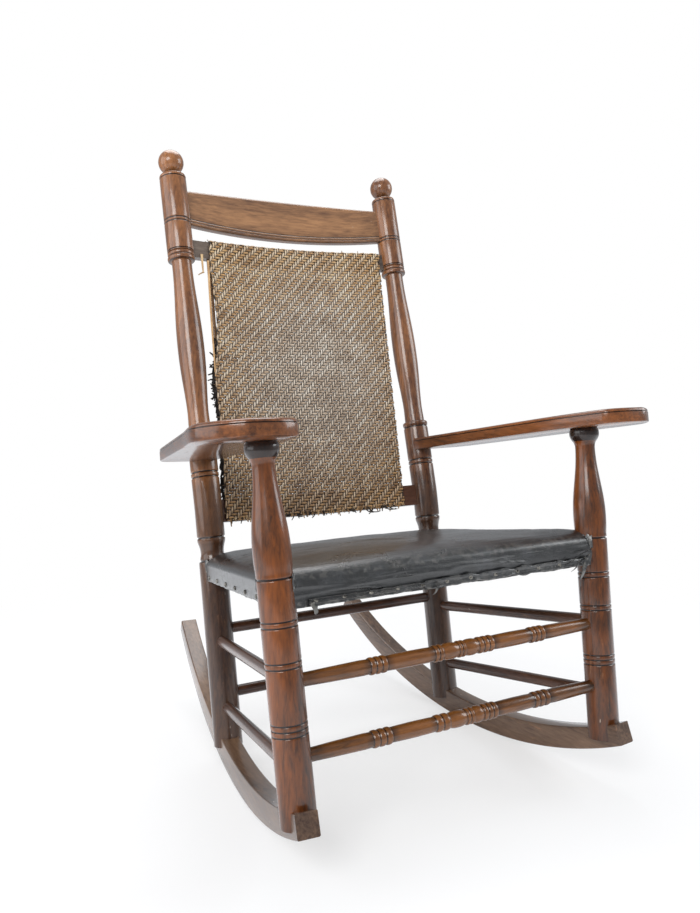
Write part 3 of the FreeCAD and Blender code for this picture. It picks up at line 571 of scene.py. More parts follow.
# the ends slope inwards towards the top
front_slant = (over(front_s) - under(front_s)) * 0.30
rear_slant = (over(rear_s) - under(rear_s)) * 0.42
section = []
for right, top, start in ((1, 0, -90), (1, 1, 0), (0, 1, 90), (0, 0, 180)):
    for k in range(4):
        a = math.radians(start + 30 * k)
        section.append((right, top, ease * math.cos(a), ease * math.sin(a)))
for word, side in both_sides:
    # the line of the runner's middle, from the foot of the front post to that of the rear one
    front = chair_point(side * front_reach(foot_q), front_p, foot_q)
    middle_x = front.x * 1000 + side * math.tan(toe) * (front.y * 1000 - arc_y)
    angle = side * toe
    verts, rubs = [], []
    for j in range(runner_steps + 1):
        t = j / runner_steps
        for right, top, dx, dz in section:
            s_low = front_s + (rear_s - front_s) * t
            s_high = front_s + front_slant + (rear_s - rear_slant - front_s - front_slant) * t
            s = s_high if top else s_low
            z = (over(s) - ease if top else under(s) + ease) + dz
            x = (board_half - ease) * (1 if right else -1) + dx
            verts.append(Vector((middle_x + x * math.cos(angle) - s * math.sin(angle),
                                 arc_y + x * math.sin(angle) + s * math.cos(angle), z)) / 1000)
            rubs.append(1.0 if abs(dx) > 0.4 and abs(dz) > 0.4 else 0.25)
    made = closed_piece("sawn_runner_" + word, verts, tube_faces(runner_steps + 1, len(section)),
                        runner_wood, None, rubs, 40)
    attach(made, "root")
    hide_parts("runner_" + word)

# Arms: wide paddles sawn from one board, the top edge rounded over above a scored line, the
# rear end fitted against the rear post and the front sitting on the post's mushroom head.

arm_wood = varnished_wood("arm_varnish", along_y, (146, 84, 38), (34, 18, 12), 0.8)
arm_low, arm_thick, rear_end = 552.5, 24.0, 121.0


def arc_points(a, b, radius, count):
    """Points of an arc from a to b that bulges to the right of the way."""
    if not radius:
        return [a]
    chord = (b - a).length
    rise = radius - math.sqrt(radius * radius - chord * chord / 4)
    out = Vector((b.y - a.y, a.x - b.x)).normalized()
    centre = (a + b) / 2 + out * (rise - radius)
    first = math.atan2(a.y - centre.y, a.x - centre.x)
    last = math.atan2(b.y - centre.y, b.x - centre.x)
    sweep = (last - first + math.pi) % (2 * math.pi) - math.pi
    return [centre + Vector((math.cos(first + sweep * k / count),
                             math.sin(first + sweep * k / count))) * radius
            for k in range(count)]


for word, side in both_sides:
    corners = [((216, rear_end), 0), ((240, -253), 900), ((255, -344), 0), ((266, -384), 70),
               ((306, -402), 400), ((342, -403), 110), ((398, -341), 900), ((382, -253), 0),
               ((336, rear_end - 70), 60), ((302, rear_end - 22), 0), ((250.5, rear_end), 0)]
    plan = []
    for i, (corner, radius) in enumerate(corners):
        a, b = Vector(corner), Vector(corners[(i + 1) % len(corners)][0])
        if radius:
            plan += arc_points(a, b, radius, 14 if radius < 500 else 8)
        else:
            steps = max(1, int((b - a).length / 12))
            plan += [a.lerp(b, k / steps) for k in range(steps)]
    for sweep in range(3):
        rounded = []
        for i, point in enumerate(plan):
            before, after = plan[i - 1], plan[(i + 1) % len(plan)]
            rounded.append(point * 0.5 + (before + after) * 0.25 if point.y < 100 else point)
        plan = rounded
    count = len(plan)
    outs = []
    for i in range(count):
        way = (plan[(i + 1) % count] - plan[i - 1]).normalized()
        outs.append(Vector((-way.y, way.x)))
    middle = sum(plan, Vector((0, 0))) / count
    if sum(outs[i].dot(plan[i] - middle) for i in range(count)) < 0:
        outs = [-o for o in outs]
    # up the edge: (inset, height, recess, rubbed), with the scored line darkened as painted
    # shade, then the round
    layers = [(2.2, 0.0, 0, 0.4), (0.4, 1.0, 0, 0.9), (0, 2.5, 0, 0.5), (0, 15.8, 0, 0.2),
              (0.2, 17.0, 0.1, 0.9), (1.3, 17.6, 1.0, 0), (1.3, 18.2, 1.0, 0),
              (0.3, 18.8, 0.1, 0.9)]
    for k in range(1, 8):
        a = math.pi / 2 * k / 7
        layers.append((0.4 + 7.0 * (1 - math.cos(a)), 19.0 + 5.0 * math.sin(a), 0, 0.6))
    layers.append((14.0, arm_thick, 0, 0.25))
    verts, recessed, rubs = [], [], []
    for inset, up, low, rub in layers:
        for point, out in zip(plan, outs):
            place = point - out * inset
            verts.append(chair_point(side * place.x, place.y, arm_low + up))
            recessed.append(low)
            rubs.append(rub)
    made = closed_piece("rounded_arm_" + word, verts, tube_faces(len(layers), count), arm_wood,
                        recessed, rubs, 45)
    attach(made, "root")
    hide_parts("arm_" + word)

# Crest rail: a steamed board bowed backwards between the posts, with a double bead run along
# its lower front edge and tenons in the posts.

crest_wood = varnished_wood("crest_varnish", along_x, (182, 134, 92), (80, 54, 42), 0.5)


def bow_behind(x, bow):
    """How far a board bowed by bow between the posts lies behind their line."""
    radius = (rear_foot_x * rear_foot_x + bow * bow) / (2 * bow)
    return math.sqrt(max(0.0, radius * radius - x * x)) - radius + bow


# round the board's section: (behind, top edge or not, up from that edge, recess, rubbed); the
# quirks beside the beads are darkened as painted shade
profile = [(-4.0, 0, 0.0, 0.3, 0.2), (-7.4, 0, 0.6, 0.2, 0.8), (-9.0, 0, 2.2, 0, 0.9),
           (-9.4, 0, 3.6, 0, 0.5), (-9.0, 0, 5.0, 0, 0.5), (-7.8, 0, 6.2, 1.0, 0),
           (-9.0, 0, 7.4, 0, 0.6), (-9.3, 0, 8.8, 0, 0.6), (-8.9, 0, 10.4, 0, 0.6),
           (-7.6, 0, 11.6, 1.0, 0), (-7.6, 0, 12.4, 0.9, 0), (-8.4, 0, 13.6, 0, 0.5),
           (-8.5, 0, 22.0, 0, 0), (-8.5, 1, -24.0, 0, 0), (-8.5, 1, -6.0, 0, 0.2),
           (-7.8, 1, -2.6, 0, 0.9), (-5.6, 1, -0.6, 0, 0.9), (-2.5, 1, 0.0, 0, 0.4),
           (3.0, 1, 0.0, 0, 0.3), (6.8, 1, -0.8, 0, 0.6), (8.5, 1, -3.5, 0, 0.4),
           (8.5, 1, -20.0, 0, 0), (8.5, 0, 16.0, 0, 0), (8.5, 0, 3.0, 0, 0.4),
           (6.8, 0, 0.6, 0, 0.6), (3.0, 0, 0.0, 0, 0.2)]
verts, recessed, rubs = [], [], []
crest_half, crest_steps = 238.0, 64
crest_low, crest_high, edge_bow, crest_bow = 564.0, 633.0, 9.0, 22.0
for j in range(crest_steps + 1):
    x = -crest_half + 2 * crest_half * j / crest_steps
    edge_up = bow_behind(x, edge_bow)
    back_by = bow_behind(x, crest_bow)
    for n, on_top, off, low, rub in profile:
        edge_w = (crest_high + edge_up) if on_top else (crest_low - edge_up)
        verts.append(back_point(x, back_by + n, edge_w + off))
        recessed.append(low)
        rubs.append(rub)
crest = closed_piece("beaded_crest_rail", verts, tube_faces(crest_steps + 1, len(profile)),
                     crest_wood, recessed, rubs, 55)
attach(crest, "root")
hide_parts("crest_rail")

# Weave rails and side sticks: flat rails bowed like the crest, unvarnished and weathered
# grey-brown, with two thin sticks between them that keep the weave's edges apart.

bare_across = varnished_wood("bare_rail_wood", along_x, (124, 110, 98), (62, 50, 44), 0.4, 0.5)
bare_upright = varnished_wood("bare_stick_wood", along_z, (150, 112, 74), (84, 60, 42), 0.4, 0.5)
refinish("upper_back_rail", bare_across)
refinish("lower_back_rail", bar_across)
for word, side in both_sides:
    refinish("back_side_stick_" + word, bare_upright)

# Woven back: split reed about 5 mm wide in a two-over, two-under twill that steps one strand
# a row, so its pale floats run up in slanting lines. It is folded over the upper rail; its
# lower edge is frayed over the lower rail and the top left corner is broken away.

reed_effect, r_in, put_out = effect_group(
    "aged_reed", [("Vector", "Vector")],
    [("Color", "Color"), ("Roughness", "Float"), ("Height", "Float")])
strand_tone = shader_node(reed_effect, "ShaderNodeAttribute", attribute_name="strand_tone")
shade_and_dark_tone = shader_node(reed_effect, "ShaderNodeAttribute", attribute_name="shade_and_dark_tone")
ageing = shader_node(reed_effect, "ShaderNodeAttribute", attribute_name="ageing")
fibre = shader_node(reed_effect, "ShaderNodeTexNoise",
                    {"Vector": r_in.outputs["Vector"], "Scale": 420.0, "Detail": 3.0})
patches = shader_node(reed_effect, "ShaderNodeTexNoise",
                      {"Vector": r_in.outputs["Vector"], "Scale": 26.0, "Detail": 4.0,
                       "Roughness": 0.7})
tone_sum = maths(reed_effect, "MULTIPLY_ADD", strand_tone.outputs["Fac"], 0.55,
                 patches.outputs["Fac"])
tone_low = maths(reed_effect, "MULTIPLY_ADD", fibre.outputs["Fac"], 0.45, tone_sum)
reed_mask = maths(reed_effect, "SUBTRACT", tone_low, 0.62, clamp=True)
warm = colour_ramp(reed_effect, reed_mask,
                   [(0.0, to_linear(112, 74, 38)), (0.45, to_linear(196, 146, 80)),
                    (0.9, to_linear(240, 204, 142))])
grey = colour_ramp(reed_effect, reed_mask,
                   [(0.0, to_linear(134, 112, 94)), (0.45, to_linear(206, 184, 160)),
                    (0.9, to_linear(250, 240, 224))])
aged = mixed(reed_effect, ageing.outputs["Fac"], warm, grey)
# painted shade: this value mixes the reed towards near-black where strands pass under others and
# along their edges; on some broken ends it is their own dark tone
shaded = mixed(reed_effect, shade_and_dark_tone.outputs["Fac"], aged, to_linear(26, 17, 12))
put_out(Color=shaded, Height=fibre.outputs["Fac"],
        Roughness=maths(reed_effect, "MULTIPLY_ADD", fibre.outputs["Fac"], 0.3, 0.42))
reed = finished_material("woven_reed", reed_effect, 0.3, 0.0004)[0]


def geometry_tree(name, inputs):
    """A Geometry Nodes tree with these named inputs: the tree, its input and output nodes."""
    tree = bpy.data.node_groups.new(name, "GeometryNodeTree")
    for label, kind in inputs:
        tree.interface.new_socket(label, in_out="INPUT", socket_type="NodeSocket" + kind)
    tree.interface.new_socket("Geometry", in_out="OUTPUT", socket_type="NodeSocketGeometry")
    return tree, tree.nodes.new("NodeGroupInput"), tree.nodes.new("NodeGroupOutput")


# one set of parallel strands, lying flat: each runs over and then under as many crossings as
# Over says, and Slant says which way the steps go
weave_tree, w_in, w_out = geometry_tree(
    "twill_strands",
    [("Strands", "Int"), ("Crossings", "Int"), ("Pitch", "Float"), ("Crossing Pitch", "Float"),
     ("Strand Width", "Float"), ("Strand Thickness", "Float"), ("Lift", "Float"),
     ("Over", "Float"), ("Slant", "Float"), ("Seed", "Int"), ("Reed", "Material")])
w_points = maths(weave_tree, "MULTIPLY_ADD", w_in.outputs["Crossings"], 2.0, 1.0)
w_length = maths(weave_tree, "MULTIPLY", w_in.outputs["Crossings"],
                 w_in.outputs["Crossing Pitch"])
w_size = shader_node(weave_tree, "ShaderNodeCombineXYZ",
                     {0: w_length, 1: w_in.outputs["Strand Width"],
                      2: w_in.outputs["Strand Thickness"]})
w_bar = shader_node(weave_tree, "GeometryNodeMeshCube",
                    {"Size": w_size.outputs[0], "Vertices X": w_points, "Vertices Y": 3,
                     "Vertices Z": 2})
w_half = shader_node(weave_tree, "ShaderNodeCombineXYZ",
                     {0: maths(weave_tree, "DIVIDE", w_length, 2.0)})
w_moved = shader_node(weave_tree, "GeometryNodeTransform",
                      {"Geometry": w_bar.outputs[0], "Translation": w_half.outputs[0]})
w_step = shader_node(weave_tree, "ShaderNodeCombineXYZ", {1: w_in.outputs["Pitch"]})
w_rows = shader_node(weave_tree, "GeometryNodeMeshLine",
                     {"Count": w_in.outputs["Strands"], "Offset": w_step.outputs[0]})
w_index = shader_node(weave_tree, "GeometryNodeInputIndex")
w_tone = shader_node(weave_tree, "FunctionNodeRandomValue",
                     {"Seed": w_in.outputs["Seed"], "ID": w_index.outputs[0]},
                     data_type="FLOAT")
w_toned = shader_node(weave_tree, "GeometryNodeStoreNamedAttribute",
                      {"Geometry": w_rows.outputs[0], "Name": "strand_tone",
                       "Value": w_tone.outputs[1]}, data_type="FLOAT", domain="POINT")
w_set = shader_node(weave_tree, "GeometryNodeInstanceOnPoints",
                    {"Points": w_toned.outputs[0], "Instance": w_moved.outputs[0]})
w_real = shader_node(weave_tree, "GeometryNodeRealizeInstances",
                     {"Geometry": w_set.outputs[0]})
w_place = shader_node(weave_tree, "GeometryNodeInputPosition")
w_xyz = shader_node(weave_tree, "ShaderNodeSeparateXYZ", {0: w_place.outputs[0]})
w_column = maths(weave_tree, "DIVIDE", w_xyz.outputs[0], w_in.outputs["Crossing Pitch"])
w_row = maths(weave_tree, "ROUND", maths(weave_tree, "DIVIDE", w_xyz.outputs[1],
                                         w_in.outputs["Pitch"]))
w_phase = maths(weave_tree, "MULTIPLY",
                maths(weave_tree, "MULTIPLY_ADD",
                      maths(weave_tree, "SUBTRACT", w_column, w_row),
                      w_in.outputs["Slant"], 0.5),
                maths(weave_tree, "DIVIDE", math.pi, w_in.outputs["Over"]))
w_wave = maths(weave_tree, "MULTIPLY", maths(weave_tree, "SINE", w_phase), 2.0)
w_over = maths(weave_tree, "MINIMUM", maths(weave_tree, "MAXIMUM", w_wave, -1.0), 1.0)
w_lift = shader_node(weave_tree, "ShaderNodeCombineXYZ",
                     {2: maths(weave_tree, "MULTIPLY", w_over, w_in.outputs["Lift"])})
w_bent = shader_node(weave_tree, "GeometryNodeSetPosition",
                     {"Geometry": w_real.outputs[0], "Offset": w_lift.outputs[0]})
w_done = shader_node(weave_tree, "GeometryNodeSetMaterial",
                     {"Geometry": w_bent.outputs[0], "Material": w_in.outputs["Reed"]})
weave_tree.links.new(w_done.outputs[0], w_out.inputs[0])


def grown(name, mesh, tree, values):
    """Runs a tree with these inputs on a mesh, and returns the resulting plain mesh."""
    holder = new_piece(name, mesh)
    modifier = holder.modifiers.new(name, "NODES")
    modifier.node_group = tree
    sockets = {item.name: item.identifier for item in tree.interface.items_tree
               if item.in_out == "INPUT"}
    for label, value in values.items():
        modifier[sockets[label]] = value
    bpy.context.view_layer.update()
    seen_as = holder.evaluated_get(bpy.context.evaluated_depsgraph_get())
    result = bpy.data.meshes.new_from_object(seen_as)
    bpy.data.objects.remove(holder)
    return result


def laid_strands(name, strands, crossings, wide, thick, lift, over_count, slant, seed):
    """A flat set of reed strands and the places of its points, in millimetres."""
    mesh = grown(name, bpy.data.meshes.new(name), weave_tree,
                 {"Strands": strands, "Crossings": crossings, "Pitch": reed_pitch,
                  "Crossing Pitch": reed_pitch, "Strand Width": wide,
                  "Strand Thickness": thick, "Lift": lift, "Over": over_count, "Slant": slant,
                  "Seed": seed, "Reed": reed})
    flat = np.zeros(len(mesh.vertices) * 3)
    mesh.vertices.foreach_get("co", flat)
    return mesh, flat.reshape(-1, 3)


def rounded_path(corners, radius):
    """Points along straight runs with round corners, and the way gone up to each."""
    dense = []
    for i, corner in enumerate(corners):
        if 0 < i < len(corners) - 1:
            a = (Vector(corners[i - 1]) - Vector(corner)).normalized() * radius
            b = (Vector(corners[i + 1]) - Vector(corner)).normalized() * radius
            for k in range(9):
                t = k / 8
                dense.append(Vector(corner) + a * (1 - t) ** 2 + b * t ** 2)
        else:
            dense.append(Vector(corner))
    lengths = [0.0]
    for a, b in zip(dense, dense[1:]):
        lengths.append(lengths[-1] + (b - a).length)
    return dense, lengths


def along_path(dense, lengths, s):
    """The place and the outward direction at s along a path."""
    s = max(0.0, min(lengths[-1] - 1e-6, s))
    i = int(np.searchsorted(lengths, s, side="right")) - 1
    i = min(i, len(dense) - 2)
    t = (s - lengths[i]) / max(1e-9, lengths[i + 1] - lengths[i])
    way = (dense[i + 1] - dense[i]).normalized()
    return dense[i].lerp(dense[i + 1], t), Vector((-way.y, way.x))


# up the front of both rails, over the upper one and a little way down behind it: (n, w)
fold, fold_lengths = rounded_path([(-9.6, -23.0), (-9.6, 533.4), (9.6, 533.4), (9.6, 500.0)],
                                  5.0)
reed_pitch, panel_low, panel_tall, panel_bow = 5.8, -24, 555, 20.0
columns, rows = 67, int(fold_lengths[-1] / reed_pitch)


def left_edge(w):
    """Where the panel's torn left edge is at height w."""
    t = (w - panel_low) / panel_tall
    torn = 0.0
    if w > 250:
        torn = min(1.0, (w - 250) / 60) * (7.0 + 5.0 * noise.noise(Vector((w * 0.05, 3.1, 0)))
                                           + 7.0 * math.exp(-((w - 385) / 70) ** 2))
    elif w > 20:
        torn = 4.0 * math.sin(math.pi * (w - 20) / 230)
    if w > 470:
        torn += (w - 470) * 0.08
    return -206.0 + 17.0 * t + torn


def right_edge(w):
    """Where the panel's right edge is at height w."""
    return 182.0 + 22.0 * (w - panel_low) / panel_tall


def hung_back(mesh, flat, warp):
    """Bends a flat set of strands round the bowed rails and ragged edges."""
    count = len(mesh.vertices)
    strand_tones = np.zeros(count)
    mesh.attributes["strand_tone"].data.foreach_get("value", strand_tones)
    strand_shade, age = np.zeros(count), np.zeros(count)
    placed = np.zeros((count, 3))
    for i, (fx, fy, fz) in enumerate(flat):
        across_mm, up_mm = (fy, fx) if warp else (fx, fy)
        strand = round(fy / reed_pitch)
        wander = noise.noise(Vector((fx * 0.045, strand * 7.3, 5.0 if warp else 9.0))) * 0.7
        if warp:
            frayed = 7.0 * noise.noise(Vector((strand * 0.9, 2.2, 1.0))) + 3.0
            up_mm = max(up_mm, frayed) if up_mm < 12 else up_mm
            step = (strand - fx / reed_pitch + 0.5) % 4.0
            across_mm += wander + 0.8 * ((3.0 - step) if step > 2.0 else (step - 1.0))
        else:
            up_mm += wander
        u = across_mm / (columns * reed_pitch)
        place, out = along_path(fold, fold_lengths, up_mm)
        w = place.y
        left, right = left_edge(w), right_edge(w)
        ragged = 4.5 * noise.noise(Vector((strand * 1.7, 0.0, 3.0)))
        if not warp and u < 0.04:
            left += ragged
        if not warp and u > 0.97:
            right += ragged * 0.5
        x = left + (right - left) * u
        lift = -fz if warp else fz
        edge = min(1.0, abs(fy - strand * reed_pitch) / 2.0)
        turns = (strand - fx / reed_pitch if warp else fx / reed_pitch - strand) + 0.5
        wave = max(-1.0, min(1.0, 2.0 * math.sin(turns * math.pi / 2)))
        wave = -wave if warp else wave
        in_front = lift > wave
        spot = place + out * (lift + (-0.9 if in_front else 0.8) * edge)
        placed[i] = back_point(x, spot.x + bow_behind(x, panel_bow), spot.y)
        nearness = wave if in_front else -wave
        # painted shade: darker where the strand dips under its neighbours, and darker still
        # towards its edges, where the gaps between strands lie
        strand_shade[i] = 0.38 - 0.38 * nearness + 0.8 * edge
        middle_w = math.exp(-((w - 250) / 190) ** 2) * math.exp(-((u - 0.55) / 0.42) ** 2)
        age[i] = min(1.0, middle_w * 1.1 + (0.45 if warp else 0.1))
        strand_tones[i] = (0.42 * strand_tones[i] + (0.46 if warp else 0.05)
                           + 0.42 * min(1.0, max(0.0, (w - 20) / 420)))
    mesh.attributes["strand_tone"].data.foreach_set("value", strand_tones)
    mesh.vertices.foreach_set("co", placed.reshape(-1))
    point_values(mesh, "shade_and_dark_tone", strand_shade)
    point_values(mesh, "ageing", age)
    mesh.update()
    face_outwards(mesh)


for name, warp, strands, crossings in (("reed_weft", False, rows, columns),
                                       ("reed_warp", True, columns, rows)):
    mesh, flat = laid_strands(name, strands, crossings, 4.4 if warp else 5.4, 2.0, 1.0, 2.0,
                              -1.0 if warp else 1.0, 11 if warp else 5)
    hung_back(mesh, flat, warp)
    made = new_piece("back_" + name, mesh)
    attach(made, "root")
    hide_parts("woven_back_panel")

# broken reed ends: short tails hanging from the lower edge, dark curls at the right, stray
# ends at both side edges and one long loose strand beside the left stick


def curled_reed(start, way, side_way, length, curl, width):
    """A short flat reed end from a back-frame point that bends over as it goes."""
    ring_places, steps, half_thick = [], 8, 0.45
    here, heading = Vector(start), Vector(way).normalized()
    for j in range(steps + 1):
        ring_places.append((here.copy(), heading.copy()))
        here = here + heading * length / steps
        heading = (heading + Vector(side_way) * curl / steps).normalized()
    verts = []
    for j, (spot, heading) in enumerate(ring_places):
        taper = 1.0 - 0.45 * j / steps
        flat_way = heading.cross(Vector((0, 1, 0)))
        flat_way = flat_way.normalized() if flat_way.length > 1e-3 else Vector((1, 0, 0))
        thin_way = heading.cross(flat_way).normalized()
        for a, b in ((-1, -1), (1, -1), (1, 1), (-1, 1)):
            verts.append(spot + flat_way * a * width * taper / 2 + thin_way * b * half_thick)
    return verts, tube_faces(steps + 1, 4)


fray = random.Random(7)
fray_verts, fray_faces, fray_tone, fray_shade_and_tone = [], [], [], []


# the last value mixes the end towards near-black through the weave's painted-shade value; for
# some ends it is a darker tone of their own
def add_reed_end(start, way, side_way, length, curl, width, shade_and_tone_here):
    """Adds one curled end to the frayed piece, given a tone by the next random draw."""
    verts, faces = curled_reed(start, way, side_way, length, curl, width)
    base = len(fray_verts)
    fray_verts.extend(back_point(v.x, v.y, v.z) for v in verts)
    fray_faces.extend(tuple(base + i for i in face) for face in faces)
    fray_tone.extend([fray.random()] * len(verts))
    fray_shade_and_tone.extend([shade_and_tone_here] * len(verts))


def on_back(x, w, out):
    """A back-frame point that lies out in front of the posts' line on the bowed panel."""
    return (x, bow_behind(x, panel_bow) - out, w)


# along the lower edge
for k in range(95):
    x = -203.0 + 384.0 * k / 94 + fray.uniform(-1.5, 1.5)
    dark = fray.random() < 0.3
    add_reed_end(on_back(x, -17.0 + fray.uniform(-3, 3), 11.0 + fray.uniform(0, 1.0)),
                 (fray.uniform(-0.25, 0.25), fray.uniform(-0.1, 0.3), -1),
                 (fray.uniform(-1, 1), fray.uniform(-0.3, 0.8), 0.1),
                 fray.uniform(5, 15), fray.uniform(0.2, 1.6), fray.uniform(2.0, 3.6),
                 0.95 if dark else 0.35)
for x, size_mm, curl in ((94, 24, 2.0), (101, 30, 2.6), (108, 18, -2.4), (139, 27, 2.8),
                         (147, 22, 2.2), (-60, 17, 2.4), (-20, 14, -2.4), (60, 13, 1.8)):
    add_reed_end(on_back(x, -19.0, 11.0), (0.1, -0.1, -1), (1, -0.2, 0.5), size_mm, curl,
                 2.8, 1.0)
# up both side edges
for k in range(46):
    w = -10.0 + 530.0 * k / 45 + fray.uniform(-4, 4)
    start = on_back(left_edge(w) + 4.0, w, 10.6)
    add_reed_end(start, (-1, fray.uniform(0.0, 0.4), fray.uniform(-0.7, 0.7)),
                 (0, 0.4, fray.uniform(-1, 1)), fray.uniform(4, 11), fray.uniform(0.3, 2.0),
                 fray.uniform(1.5, 2.6), fray.uniform(0.3, 0.9))
    if k % 2:
        start = on_back(right_edge(w) - 3.0, w, 10.4)
        add_reed_end(start, (1, fray.uniform(0.1, 0.5), fray.uniform(-0.5, 0.5)),
                     (0, 0.6, fray.uniform(-1, 1)), fray.uniform(3, 6), 0.8, 2.0, 0.7)
# on the fold over the upper rail
for k in range(60):
    x = -188.0 + 390.0 * k / 59 + fray.uniform(-2, 2)
    add_reed_end(on_back(x, 532.0, 5.0 + fray.uniform(0, 4)),
                 (fray.uniform(-1, 1), fray.uniform(-0.4, 0.6), 0.45),
                 (fray.uniform(-1, 1), 0, -1.2), fray.uniform(3, 8), 1.6,
                 fray.uniform(1.4, 2.4), fray.uniform(0.2, 0.8))
# a dark fringe behind the torn left edge, and longer ends that stick out of it
for k in range(120):
    w = 8.0 + 330.0 * k / 119 + fray.uniform(-3, 3)
    add_reed_end(on_back(left_edge(w) + fray.uniform(-4, 2), w, fray.uniform(1.0, 7.0)),
                 (-0.35, fray.uniform(-0.2, 0.2), -1), (fray.uniform(-0.4, 0.5), 0.3, 0),
                 fray.uniform(9, 16), 0.6, fray.uniform(3.6, 5.2), 1.0)
for k in range(64):
    w = 40.0 + 290.0 * k / 63 + fray.uniform(-3, 3)
    near_tear = 1.0 if 190 < w < 300 else 0.5
    add_reed_end(on_back(left_edge(w) + 7.0, w, fray.uniform(1.0, 8.0)),
                 (-1, fray.uniform(-0.2, 0.3), fray.uniform(-0.9, 0.5)),
                 (0.2, 0.3, fray.uniform(-1, 1)),
                 near_tear * fray.uniform(14, 24), fray.uniform(0.6, 2.0),
                 fray.uniform(3.0, 4.6), 1.0)
# the long loose strand and two short ones at the broken corner
add_reed_end(on_back(-187.0, 490.0, 11.5), (-0.06, 0.0, -1), (0.12, 0.0, 0.0), 235.0, 0.3, 4.4,
             0.0)
add_reed_end(on_back(-198.0, 503.0, 9.0), (-0.05, 0.0, -1), (0.3, 0, 0), 38.0, 0.2, 5.0, 0.1)
add_reed_end(on_back(-197.0, 466.0, 9.0), (-1, 0.0, -0.35), (0, 0, -0.5), 14.0, 0.8, 3.0, 0.4)
frayed = closed_piece("frayed_reed_ends", fray_verts, fray_faces, reed, angle=40)
for label, values in (("strand_tone", fray_tone), ("shade_and_dark_tone", fray_shade_and_tone),
                      ("ageing", [0.25] * len(fray_tone))):
    point_values(frayed.data, label, values[:len(frayed.data.vertices)])
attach(frayed, "root")

# Woven seat: the same reed, laid narrower in a three-over, three-under twill over the four seat
# rails. The leather hides its top, and it is seen only from below.

seat_wide, seat_deep = 94, 72
seat_front_half, seat_rear_half, seat_weave_q = 270.0, 222.0, 367.0
for name, warp in (("seat_weft", False), ("seat_warp", True)):
    mesh, flat = laid_strands(name, seat_wide if warp else seat_deep,
                              seat_deep if warp else seat_wide, 3.0, 1.0, 0.8, 3.0,
                              -1.0 if warp else 1.0, 21 if warp else 15)
    placed = np.zeros(flat.shape)
    for i, (fx, fy, fz) in enumerate(flat):
        across_mm, back_mm = (fy, fx) if warp else (fx, fy)
        u, v = across_mm / (seat_wide * reed_pitch), back_mm / (seat_deep * reed_pitch)
        half_wide = seat_front_half + (seat_rear_half - seat_front_half) * v
        placed[i] = chair_point(-half_wide + 2 * half_wide * u, -318.0 + 418.0 * v,
                                seat_weave_q + (-fz if warp else fz))
    mesh.vertices.foreach_set("co", placed.reshape(-1))
    # the whole seat weave is darkened evenly by the same painted shade
    point_values(mesh, "shade_and_dark_tone", [0.35] * len(flat))
    point_values(mesh, "ageing", [0.3] * len(flat))
    face_outwards(mesh)
    made = new_piece(name, mesh)
    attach(made, "root")
    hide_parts("woven_seat")

# Leather seat cover: black upholstery leather drawn down over a thin pad on the woven seat,
# cut ragged round the four posts and tacked under the rails, cracked and rubbed on the front
# roll.

hide, h_in, put_out = effect_group(
    "cracked_hide", [("Vector", "Vector")],
    [("Color", "Color"), ("Roughness", "Float"), ("Height", "Float")])
hide_place = h_in.outputs["Vector"]
pebble = shader_node(hide, "ShaderNodeTexVoronoi", {"Vector": hide_place, "Scale": 520.0},
                     feature="F1")
stirred = shader_node(hide, "ShaderNodeTexNoise",
                      {"Vector": hide_place, "Scale": 14.0, "Detail": 6.0,
                       "Roughness": 0.65, "Distortion": 1.2})
crack_warp = shader_node(hide, "ShaderNodeVectorMath",
                         {0: stirred.outputs["Color"], 1: (0.05, 0.05, 0.05)},
                         operation="MULTIPLY")
crack_place = shader_node(hide, "ShaderNodeVectorMath",
                          {0: hide_place, 1: crack_warp.outputs[0]}, operation="ADD")
cracks = shader_node(hide, "ShaderNodeTexVoronoi",
                     {"Vector": crack_place.outputs[0], "Scale": 95.0},
                     feature="DISTANCE_TO_EDGE")
crack_line = mask(hide, cracks.outputs["Distance"], 0.0, 0.06)
rub_map = mask(hide, stirred.outputs["Fac"], 0.44, 0.68, True)
black = mixed(hide, rub_map, to_linear(14, 15, 16), to_linear(40, 42, 45))
creased = mixed(hide, crack_line, to_linear(9, 9, 10), black)
edge_noise = shader_node(hide, "ShaderNodeTexNoise",
                         {"Vector": hide_place, "Scale": 120.0, "Detail": 5.0})
edge_break = mask(hide, edge_noise.outputs["Fac"], 0.48, 0.60)
# pale edges: rubbed wear on the hem and collars, and painted highlight along the folded strip's
# edges
hide_rub_and_highlight = shader_node(hide, "ShaderNodeAttribute", attribute_name="rubbed")
rub_and_highlight_mask = maths(hide, "MULTIPLY", hide_rub_and_highlight.outputs["Fac"], edge_break, clamp=True)
put_out(Color=mixed(hide, rub_and_highlight_mask, creased, to_linear(150, 146, 138)),
        Roughness=maths(hide, "MULTIPLY_ADD", stirred.outputs["Fac"], 0.30, 0.16),
        Height=maths(hide, "MULTIPLY_ADD", crack_line, 0.6, pebble.outputs["Distance"]))
leather, hide_surface = finished_material("old_black_leather", hide, 0.35, 0.0007)[:2]
hide_surface.inputs["IOR"].default_value = 1.7
hide_surface.inputs["Coat Weight"].default_value = 0.6
hide_surface.inputs["Coat Roughness"].default_value = 0.24

seat_q, weave_top, crown, skirt_top = 356.0, 374.0, 16.0, 362.0
front_x, rear_x, rear_p = front_reach(seat_q), rear_reach(seat_q), rear_line(seat_q)
slope = (front_x - rear_x) / (rear_p - front_p)


def seat_edge(grow, t):
    """A point of the seat's outline, offset outwards by grow, at t of the way round it."""
    wide_off = grow * math.sqrt(1 + slope * slope)
    p0, p1 = front_p - grow, rear_p + grow
    x0, x1 = front_x + slope * grow + wide_off, rear_x - slope * grow + wide_off
    corners = [Vector((-x0, p0)), Vector((x0, p0)), Vector((x1, p1)), Vector((-x1, p1))]
    side_number = int(t * 4) % 4
    local = t * 4 - int(t * 4)
    return corners[side_number].lerp(corners[(side_number + 1) % 4], local), side_number, local


